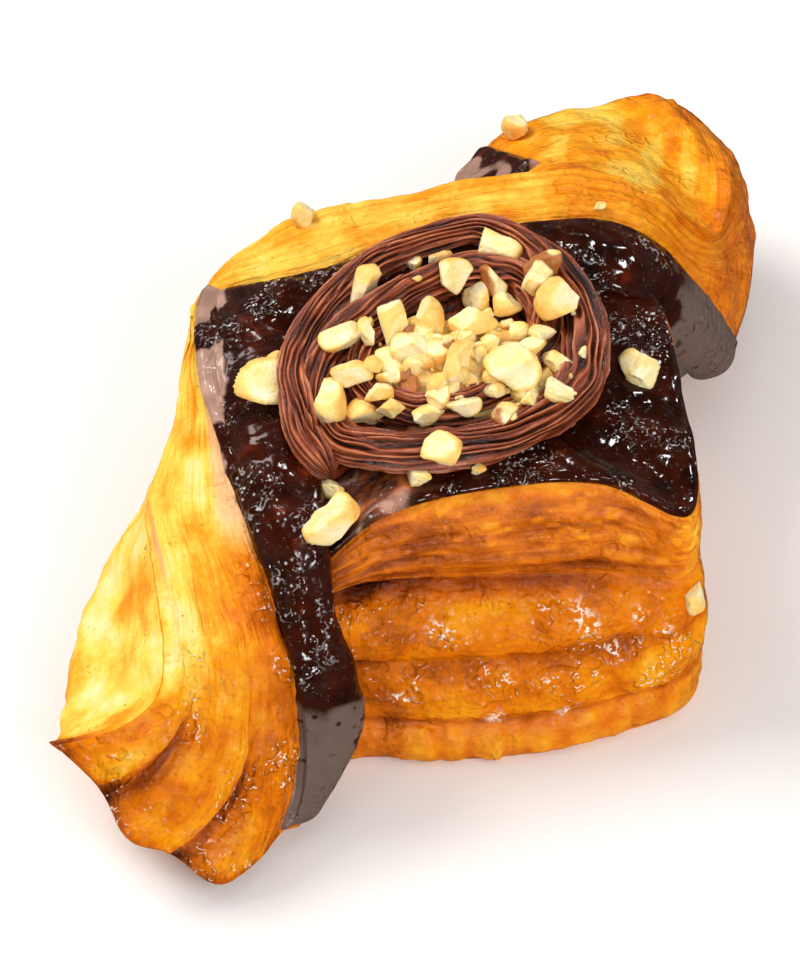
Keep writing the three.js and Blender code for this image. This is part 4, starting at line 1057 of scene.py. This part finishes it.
def write_cream(material):
    """Two fluted strands and the bed below them."""
    pieces = []
    for name, path, height, seed in (("cream_outer_strand", OUTER_PATH, STRAND_HEIGHT, 61),
                                     ("cream_inner_strand", INNER_PATH, STRAND_HEIGHT + INNER_RISE, 71)):
        points, pleat, along = strand_grid(path, height, seed)
        pieces.append(write_tube(name, points, ridge=pleat, flow=along))
    q = np.linspace(0, 1, 220, endpoint=False)[None, :]
    edge = through(OUTER_PATH, q, closed=True)[..., :2]
    size = np.array([0.55, 0.9, 1, 1, 0.97, 0.9, *np.linspace(0.86, 0.04, 50)])[:, None]
    z = np.array([37, 37, 38, 39, 39.8, 40.2, *np.linspace(40.4, 40.8, 50)])[:, None]
    plan = lerp(np.array(BED_MIDDLE), edge, size[..., None])
    points = np.concatenate([plan, np.broadcast_to(z, plan.shape[:2])[..., None]], -1)
    folds = 1 - np.abs(surface_noise(size * 14, q * 30, 1.0, 77))
    points[..., 2] += (size < 0.95) * (0.5 * folds + 0.25 * rough(points, 2.5, 79, 3))
    pieces.append(write_tube("cream_bed", points, ridge=folds * 0.5, flow=flow(size * 20, q * 100, 0 * q)))
    for piece in pieces:
        finish_piece(piece, material, "cream", "cream_rosette")


# ---------------------------------------------------------------- nuts


def nut_grids(sizes, turns, tilts, hollow, rng, rows=30, columns=44, planes=9):
    """Grids of chopped nuts, one for each row of sizes. The distance from a nut's middle is a soft minimum of
    an ellipsoid, of flat cuts, and of a round hollow on one side where hollow is over 0; then it is bent."""
    count = len(sizes)
    pole = (np.pi * (np.arange(rows) + 0.5) / rows)[:, None]
    turn = (2 * np.pi * np.arange(columns) / columns)[None, :]
    d = ball_directions(pole, turn)[None]
    normals = rng.normal(size=(count, planes, 3))
    normals[:, 0] = (0, 0, -1)
    normals = unit(normals)
    heights = rng.uniform(0.42, 0.86, (count, planes))
    heights[:, 0] = rng.uniform(0.6, 0.9, count)
    facing = np.maximum(np.einsum("npk,rck->nprc", normals, d[0]), 0.05)
    reach = heights[:, :, None, None] / facing
    ball = np.ones((count, 1, rows, columns)) * 1.12
    bite = np.stack([np.full(count, 0.2), np.full(count, -1.25), np.full(count, 0.35)], -1)
    toward = (d * bite[:, None, None, :]).sum(-1)
    inside = toward**2 - ((bite**2).sum(-1) - (0.45 + hollow) ** 2)[:, None, None]
    dent = np.where((inside > 0) & (toward > 0) & (hollow[:, None, None] > 0),
                    toward - np.sqrt(np.maximum(inside, 0)), 3.0)[:, None]
    everything = np.concatenate([ball, reach, dent], 1)
    sharp = 42.0
    r = -np.log(np.exp(-sharp * everything).sum(1)) / sharp
    cut = smooth((ball[:, 0] - everything[:, 1:].min(1)) / 0.12)
    bumps = noise(d * 1.7 + np.arange(count)[:, None, None, None] * 7.7, 1.0, 83)
    fine = noise(d * 5.5 + np.arange(count)[:, None, None, None] * 3.3, 1.0, 85)
    r = r + 0.07 * bumps + 0.02 * fine
    shape = d * r[..., None]
    bend = rng.uniform(-0.3, 0.3, count)[:, None, None] - 0.5 * hollow[:, None, None]
    shape[..., 1] += bend * (shape[..., 0] ** 2 - 0.3)
    shape = shape * (np.asarray(sizes)[:, None, None, :] / 2)
    return turned(shape, turns, tilts), cut


def rotated(a, b, angles):
    """Two coordinates of each shape turned by its angle in radians."""
    cos, sin = np.cos(angles)[:, None, None], np.sin(angles)[:, None, None]
    return a * cos - b * sin, a * sin + b * cos


def turned(shape, turns, tilts):
    """Each shape tilted about x, then turned about z."""
    x, y, z = np.moveaxis(shape, -1, 0)
    y, z = rotated(y, z, tilts)
    x, y = rotated(x, y, turns)
    return np.stack([x, y, z], -1)


def height_below(tree, x, y):
    """Height in mm of what lies below a place of the plan, or 0."""
    place = to_metres((x, y, 0))[0]
    hit = tree.ray_cast(Vector((place[0], place[1], 0.2)), Vector((0, 0, -1)))[0]
    return hit.z / MM if hit else 0.0


def surface_tree(names):
    """The pieces' faces as one tree that rays can hit."""
    points = []
    faces = []
    for name in names:
        mesh = bpy.data.objects[name].data
        first = len(points)
        points.extend(v.co.copy() for v in mesh.vertices)
        faces.extend(tuple(first + k for k in p.vertices) for p in mesh.polygons)
    return BVHTree.FromPolygons(points, faces)


def write_nuts(material, crumb_count):
    """Chopped hazelnuts on what carries them, the low mound below the heap, which is coloured as nuts in shade
    with painted shade between its lumps, and crumbs.
    """
    rng = np.random.default_rng(7)
    crust = ["left_wing", "back_wing", "block_fold", "chocolate_left", "chocolate_back", "chocolate_top",
             "cream_outer_strand", "cream_inner_strand", "cream_bed"]
    q = np.linspace(0, 1, 120, endpoint=False)[None, :]
    pole = np.linspace(0.03, 0.97, 60)[:, None] * np.pi
    d = ball_directions(pole, 2 * np.pi * q)
    mound = d * HEAP_SIZE
    lumps = 1 - np.abs(noise(mound + 5, 2.4, 91))
    mound = mound + d * (0.9 * lumps + 0.3 * rough(mound, 1.5, 93, 2))[..., None] + HEAP_PLACE
    # Painted shade: brown skin colour lies in the hollows between the mound's lumps, and pale cut colour on the
    # lumps.
    heap = write_tube("nut_mound", mound, cut=0.6 * lumps, skin=0.45 * (1 - lumps) + 0.1)
    finish_piece(heap, material, "nut", "nut_heap")
    tree = surface_tree(crust + ["nut_mound"])

    table = np.array(NUTS)
    base = np.array([height_below(tree, x, y) for x, y in table[:, :2]])
    sizes = np.concatenate([table[:, 2:5], [SIDE_NUT_SIZE]])
    turns = np.radians(np.append(table[:, 5], 90))
    tilts = rng.uniform(-0.3, 0.3, len(sizes))
    grids, cut = nut_grids(sizes * NUT_FULLNESS, turns, tilts, np.append(table[:, 7], 0), rng)
    places = np.stack([table[:, 0], table[:, 1], base + (NUT_RISE + table[:, 8]) * table[:, 4]], -1)
    places = np.concatenate([places, [SIDE_NUT_PLACE]])
    rags = noise(grids * 0.4 + 11, 1.0, 95) * 0.5 + np.append(table[:, 6], 0)[:, None, None]
    grids = grids + places[:, None, None, :]
    grids[..., 2] -= np.maximum(grids[..., 2].max((1, 2)) - NUTS_TOP, 0)[:, None, None]
    loose = [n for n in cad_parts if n.startswith("nut_")]
    finish_piece(write_tubes("hazelnuts", grids, cut=cut, skin=rags), material, "nut", *loose)

    for name, count, kind in (("nut_bits", BIT_COUNT, BITS), ("nut_crumbs", crumb_count, CRUMBS)):
        spots = rng.normal(size=(count, 2)) * kind["spread"] + HEAP_PLACE[:2]
        base = np.array([height_below(tree, x, y) for x, y in spots])
        sizes = rng.uniform(*kind["sizes"], (count, 1)) * rng.uniform(0.65, 1.15, (count, 3))
        grids, cut = nut_grids(sizes, rng.uniform(0, 6.28, count), rng.uniform(-0.5, 0.5, count),
                               np.zeros(count), rng, kind["rows"], kind["columns"], planes=8)
        places = np.stack([spots[:, 0], spots[:, 1], base + 0.25 * sizes[:, 2]], -1)
        skin = np.where(rng.random(count) < 0.1, 0.9, 0.1)[:, None, None] + 0 * cut
        piece = write_tubes(name, grids + places[:, None, None, :], cut=cut, skin=skin)
        finish_piece(piece, material, "nut")


# ---------------------------------------------------------------- properties


def colour_property(name, code, text):
    return FloatVectorProperty(name=name, description=text, subtype="COLOR", size=3, min=0, max=1,
                               default=linear(code))


class PastrySizes(bpy.types.PropertyGroup):
    """Sizes that a user would change."""

    crumb_count: IntProperty(name="Crumbs", description="Small nut crumbs on the heap", default=90, min=1)
    floor_radius: FloatProperty(name="Floor", description="Radius of the floor", default=1.6, unit="LENGTH")
    camera_distance: FloatProperty(name="Camera distance", description="From the pastry", default=3.0,
                                   unit="LENGTH")


class PastryColours(bpy.types.PropertyGroup):
    """Colours of the dough, the chocolate, the cream and the nuts."""

    cream_dough: colour_property("Cream dough", "F6E0A0", "Dough that is hardly baked")
    pale_dough: colour_property("Pale dough", "F6CC50", "Yellow inner face")
    gold_dough: colour_property("Gold dough", "F09A10", "Golden crust")
    amber_dough: colour_property("Amber dough", "DA7206", "Orange crust")
    brown_dough: colour_property("Brown dough", "A04806", "Brown edges and creases")
    dark_dough: colour_property("Dark dough", "521C06", "Darkest specks")
    # Peach tint along the chocolate, partly a painted sheen of the wet glaze
    peach_tint_and_sheen_dough: colour_property("Blush dough", "EEB48C", "Peach strip along the chocolate")
    # Pale dried glaze, also painted where glints stand: partly a painted highlight
    glaze: colour_property("Glaze", "FFF2DC", "Dried glaze on the puckers")
    # Painted reflection: the pale mauve of smooth glaze on the chocolate
    film: colour_property("Film", "C69E8C", "Smooth glaze on the chocolate's left edge")
    # Painted highlight on the chocolate's beads of glaze
    painted_glint: colour_property("Glint", "D8D4D4", "Lit beads of glaze on the chocolate")
    # Painted grey reflection on the chocolate's tips
    painted_sheen: colour_property("Bloom", "75625A", "Dull glaze on the chocolate's tips")
    dark_skin: colour_property("Dark skin", "180602", "Thick chocolate")
    brown_skin: colour_property("Brown skin", "360F04", "Thinner chocolate")
    red_skin: colour_property("Red skin", "6A260C", "Thinnest chocolate")
    # Painted shade in the cream's grooves
    groove_shade_cream: colour_property("Dark cream", "200803", "Grooves of the cream")
    mid_cream: colour_property("Mid cream", "8A3C1C", "Sides of the ridges")
    # Painted highlight on the tops of the cream's ridges
    crest_highlight_cream: colour_property("Light cream", "E08E62", "Tops of the ridges")
    nut_cut: colour_property("Cut nut", "FFF5D8", "Cut faces of the nuts")
    nut_pale: colour_property("Pale nut", "FDDC84", "Outer faces of the nuts")
    nut_gold: colour_property("Golden nut", "F0A63A", "Golden parts of the nuts")
    nut_skin: colour_property("Nut skin", "B06C30", "Rags of brown skin")


# ---------------------------------------------------------------- operators


def made_once(name, maker):
    """The material of that name, made with the scene's colours if it isn't there yet."""
    return bpy.data.materials.get(name) or maker(bpy.context.scene.pastry_colours)


class PASTRY_OT_wings(bpy.types.Operator):
    """Make the two wings of the upper strip"""

    bl_idname = "pastry.wings"
    bl_label = "Wings"

    def execute(self, context):
        material = made_once("laminated_dough", dough_material)
        write_wing("left_wing", LEFT_WING, 100, left_bake, material)
        write_wing("back_wing", BACK_WING, 200, back_bake, material)
        return {"FINISHED"}


class PASTRY_OT_block(bpy.types.Operator):
    """Make the block: the base slab and the strip on it"""

    bl_idname = "pastry.block"
    bl_label = "Block"

    def execute(self, context):
        write_block(made_once("laminated_dough", dough_material))
        return {"FINISHED"}


class PASTRY_OT_skin(bpy.types.Operator):
    """Make the chocolate skin on the wings and the block"""

    bl_idname = "pastry.skin"
    bl_label = "Chocolate skin"

    def execute(self, context):
        material = made_once("chocolate_skin", skin_material)
        write_wing_skin("chocolate_left", LEFT_WING, 300, (0.03, 0.985), left_edges, left_glaze, material,
                        "chocolate_skin")
        write_wing_skin("chocolate_back", BACK_WING, 310, (0.045, 0.985), back_edges, back_glaze, material,
                        "chocolate_skin")
        write_wing_skin("ear_patch", BACK_WING, 320, (0.372, 0.468), ear_edges, ear_glaze, material, "ear_skin")
        write_top_skin(material)
        return {"FINISHED"}


class PASTRY_OT_cream(bpy.types.Operator):
    """Pipe the cream rosette"""

    bl_idname = "pastry.cream"
    bl_label = "Cream rosette"

    def execute(self, context):
        write_cream(made_once("chocolate_cream", cream_material))
        return {"FINISHED"}


class PASTRY_OT_nuts(bpy.types.Operator):
    """Scatter the chopped hazelnuts"""

    bl_idname = "pastry.nuts"
    bl_label = "Hazelnuts"

    def execute(self, context):
        write_nuts(made_once("chopped_hazelnut", nut_material), context.scene.pastry_sizes.crumb_count)
        return {"FINISHED"}


class PASTRY_OT_stage(bpy.types.Operator):
    """Set the floor, the lights and the camera"""

    bl_idname = "pastry.stage"
    bl_label = "Stage"

    FRAME_HEIGHT = 980  # pixels of the picture's long side
    SCALE = 7500  # pixels for each metre at the pastry
    TARGET = (-0.00073, -0.00725, 0.020)
    ELEVATION = math.radians(50)
    LIGHTS = (  # name, place, width, height, power in watts, colour, what it is for
        ("key", (-0.6, 0.35, 0.75), 0.6, 0.6, 10.6, (1.0, 0.97, 0.92), "body"),
        ("fill", (0.5, -0.75, 0.65), 0.8, 0.8, 9.4, (1.0, 0.98, 0.95), "body"),
        ("sky", (0, 0.1, 1.4), 1.6, 1.6, 7.6, (1.0, 1.0, 1.0), "body"),
        ("window", (-0.56, 0.77, 0.68), 0.3, 0.25, 2.4, (1.0, 0.86, 0.84), "gloss"),
        ("spark_back", (0.05, 0.6, 0.8), 0.1, 0.1, 1.6, (1.0, 1.0, 1.0), "gloss"),
        ("spark_left", (-0.35, 0.15, 0.92), 0.1, 0.1, 1.4, (1.0, 1.0, 1.0), "gloss"),
        ("spark_top", (0.35, -0.1, 0.93), 0.1, 0.1, 1.4, (1.0, 1.0, 1.0), "gloss"),
        ("spark_front", (-0.15, -0.55, 0.82), 0.1, 0.1, 1.6, (1.0, 1.0, 1.0), "gloss"),
        ("spark_right", (0.5, 0.5, 0.7), 0.1, 0.1, 1.8, (0.9, 0.96, 1.0), "gloss"),
        ("spark_low", (0.2, -0.95, 0.35), 0.16, 0.16, 3.0, (1.0, 1.0, 1.0), "gloss"),
        ("spark_floor", (-0.35, -0.9, 0.5), 0.14, 0.14, 2.4, (1.0, 1.0, 1.0), "gloss"),
    )
    HORIZON = 0.28  # brightness of the surroundings at the horizon
    ZENITH = 0.06  # overhead
    BELOW = 0.12  # and below it

    def execute(self, context):
        sizes = context.scene.pastry_sizes
        self.floor(sizes.floor_radius)
        for row in self.LIGHTS:
            self.light(*row)
        self.world(context.scene)
        self.camera(context.scene, sizes.camera_distance)
        context.scene.view_settings.view_transform = "Standard"
        return {"FINISHED"}

    def floor(self, radius):
        ring = radius * np.array([0.02, 0.3, 1.0])[:, None, None]
        turn = (2 * np.pi * np.arange(96) / 96)[None, :]
        plan = ring * flow(np.cos(turn), np.sin(turn), 0 * turn)
        mesh = bpy.data.meshes.new("floor")
        quads, triangles = tube_faces(3, 96)
        points = np.concatenate([plan.reshape(-1, 3), [(0, 0, 0)]])
        faces = [*quads.tolist(), *triangles[:96].tolist()]
        mesh.from_pydata(points.tolist(), [], faces)
        mesh.validate()
        floor = bpy.data.objects.new("floor", mesh)
        bpy.context.scene.collection.objects.link(floor)
        paint = Paint("pale_floor", specular_ior_level=0.2)
        grain = paint.noise(paint.place(), 60.0, 2.0)
        tone = paint.ramp(grain, (0.0, (0.9, 0.9, 0.9)), (1.0, (0.93, 0.93, 0.93)))
        floor.data.materials.append(paint.finish(base_color=tone, roughness=0.6 + grain * 0.2))
        floor.visible_glossy = False

    def light(self, name, place, width, height, power, colour, use):
        """A soft lamp that gives body light or only glints, so that the glaze stays clear."""
        lamp = bpy.data.lights.new(name, "AREA")
        lamp.shape = "RECTANGLE"
        lamp.size = width
        lamp.size_y = height
        lamp.energy = power
        lamp.color = colour
        holder = bpy.data.objects.new(name, lamp)
        holder.location = place
        holder.rotation_euler = (-Vector(place)).to_track_quat("-Z", "Y").to_euler()
        holder.visible_glossy = use == "gloss"
        holder.visible_diffuse = use == "body"
        bpy.context.scene.collection.objects.link(holder)

    def world(self, scene):
        """Plain surroundings that are bright at the horizon and dim overhead."""
        world = bpy.data.worlds.new("studio")
        scene.world = world
        world.use_nodes = True
        tree = world.node_tree
        direction = tree.nodes.new("ShaderNodeTexCoord")
        parts = tree.nodes.new("ShaderNodeSeparateXYZ")
        strength = tree.nodes.new("ShaderNodeFloatCurve")
        curve = strength.mapping.curves[0]
        curve.points[0].location = (0, self.BELOW)
        curve.points[1].location = (1, self.ZENITH)
        for place, value in ((0.47, self.BELOW), (0.52, self.HORIZON), (0.8, self.ZENITH)):
            curve.points.new(place, value)
        strength.mapping.update()
        share = tree.nodes.new("ShaderNodeMath")
        share.operation = "MULTIPLY_ADD"
        share.inputs[1].default_value = 0.5
        share.inputs[2].default_value = 0.5
        background = tree.nodes["Background"]
        background.inputs["Color"].default_value = (1, 1, 1, 1)
        tree.links.new(direction.outputs["Generated"], parts.inputs[0])
        tree.links.new(parts.outputs["Z"], share.inputs[0])
        tree.links.new(share.outputs[0], strength.inputs["Value"])
        tree.links.new(strength.outputs[0], background.inputs["Strength"])

    def camera(self, scene, distance):
        data = bpy.data.cameras.new("camera")
        data.sensor_width = 36
        data.lens = self.SCALE * distance * data.sensor_width / self.FRAME_HEIGHT
        data.clip_start = 0.1
        data.clip_end = 50
        eye = bpy.data.objects.new("camera", data)
        back = Vector((0, -math.cos(self.ELEVATION), math.sin(self.ELEVATION)))
        eye.location = Vector(self.TARGET) + back * distance
        eye.rotation_euler = (math.pi / 2 - self.ELEVATION, 0, 0)
        scene.collection.objects.link(eye)
        scene.camera = eye


class PASTRY_PT_panel(bpy.types.Panel):
    """Sidebar panel with the pastry's sizes, colours and pieces"""

    bl_label = "Pastry"
    bl_idname = "PASTRY_PT_panel"
    bl_space_type = "VIEW_3D"
    bl_region_type = "UI"
    bl_category = "Pastry"

    def draw(self, context):
        for group in (context.scene.pastry_sizes, context.scene.pastry_colours):
            for key in group.__annotations__:
                self.layout.prop(group, key)
        for operator in OPERATORS:
            self.layout.operator(operator.bl_idname)


OPERATORS = (PASTRY_OT_wings, PASTRY_OT_block, PASTRY_OT_skin, PASTRY_OT_cream, PASTRY_OT_nuts, PASTRY_OT_stage)
CLASSES = (PastrySizes, PastryColours, *OPERATORS, PASTRY_PT_panel)


def register():
    for each in CLASSES:
        bpy.utils.register_class(each)
    bpy.types.Scene.pastry_sizes = PointerProperty(type=PastrySizes)
    bpy.types.Scene.pastry_colours = PointerProperty(type=PastryColours)


def unregister():
    del bpy.types.Scene.pastry_sizes
    del bpy.types.Scene.pastry_colours
    for each in reversed(CLASSES):
        bpy.utils.unregister_class(each)


def main():
    register()
    for operator in OPERATORS:
        group, name = operator.bl_idname.split(".")
        getattr(getattr(bpy.ops, group), name)()
    bpy.context.view_layer.update()


if __name__ == "__main__":
    main()
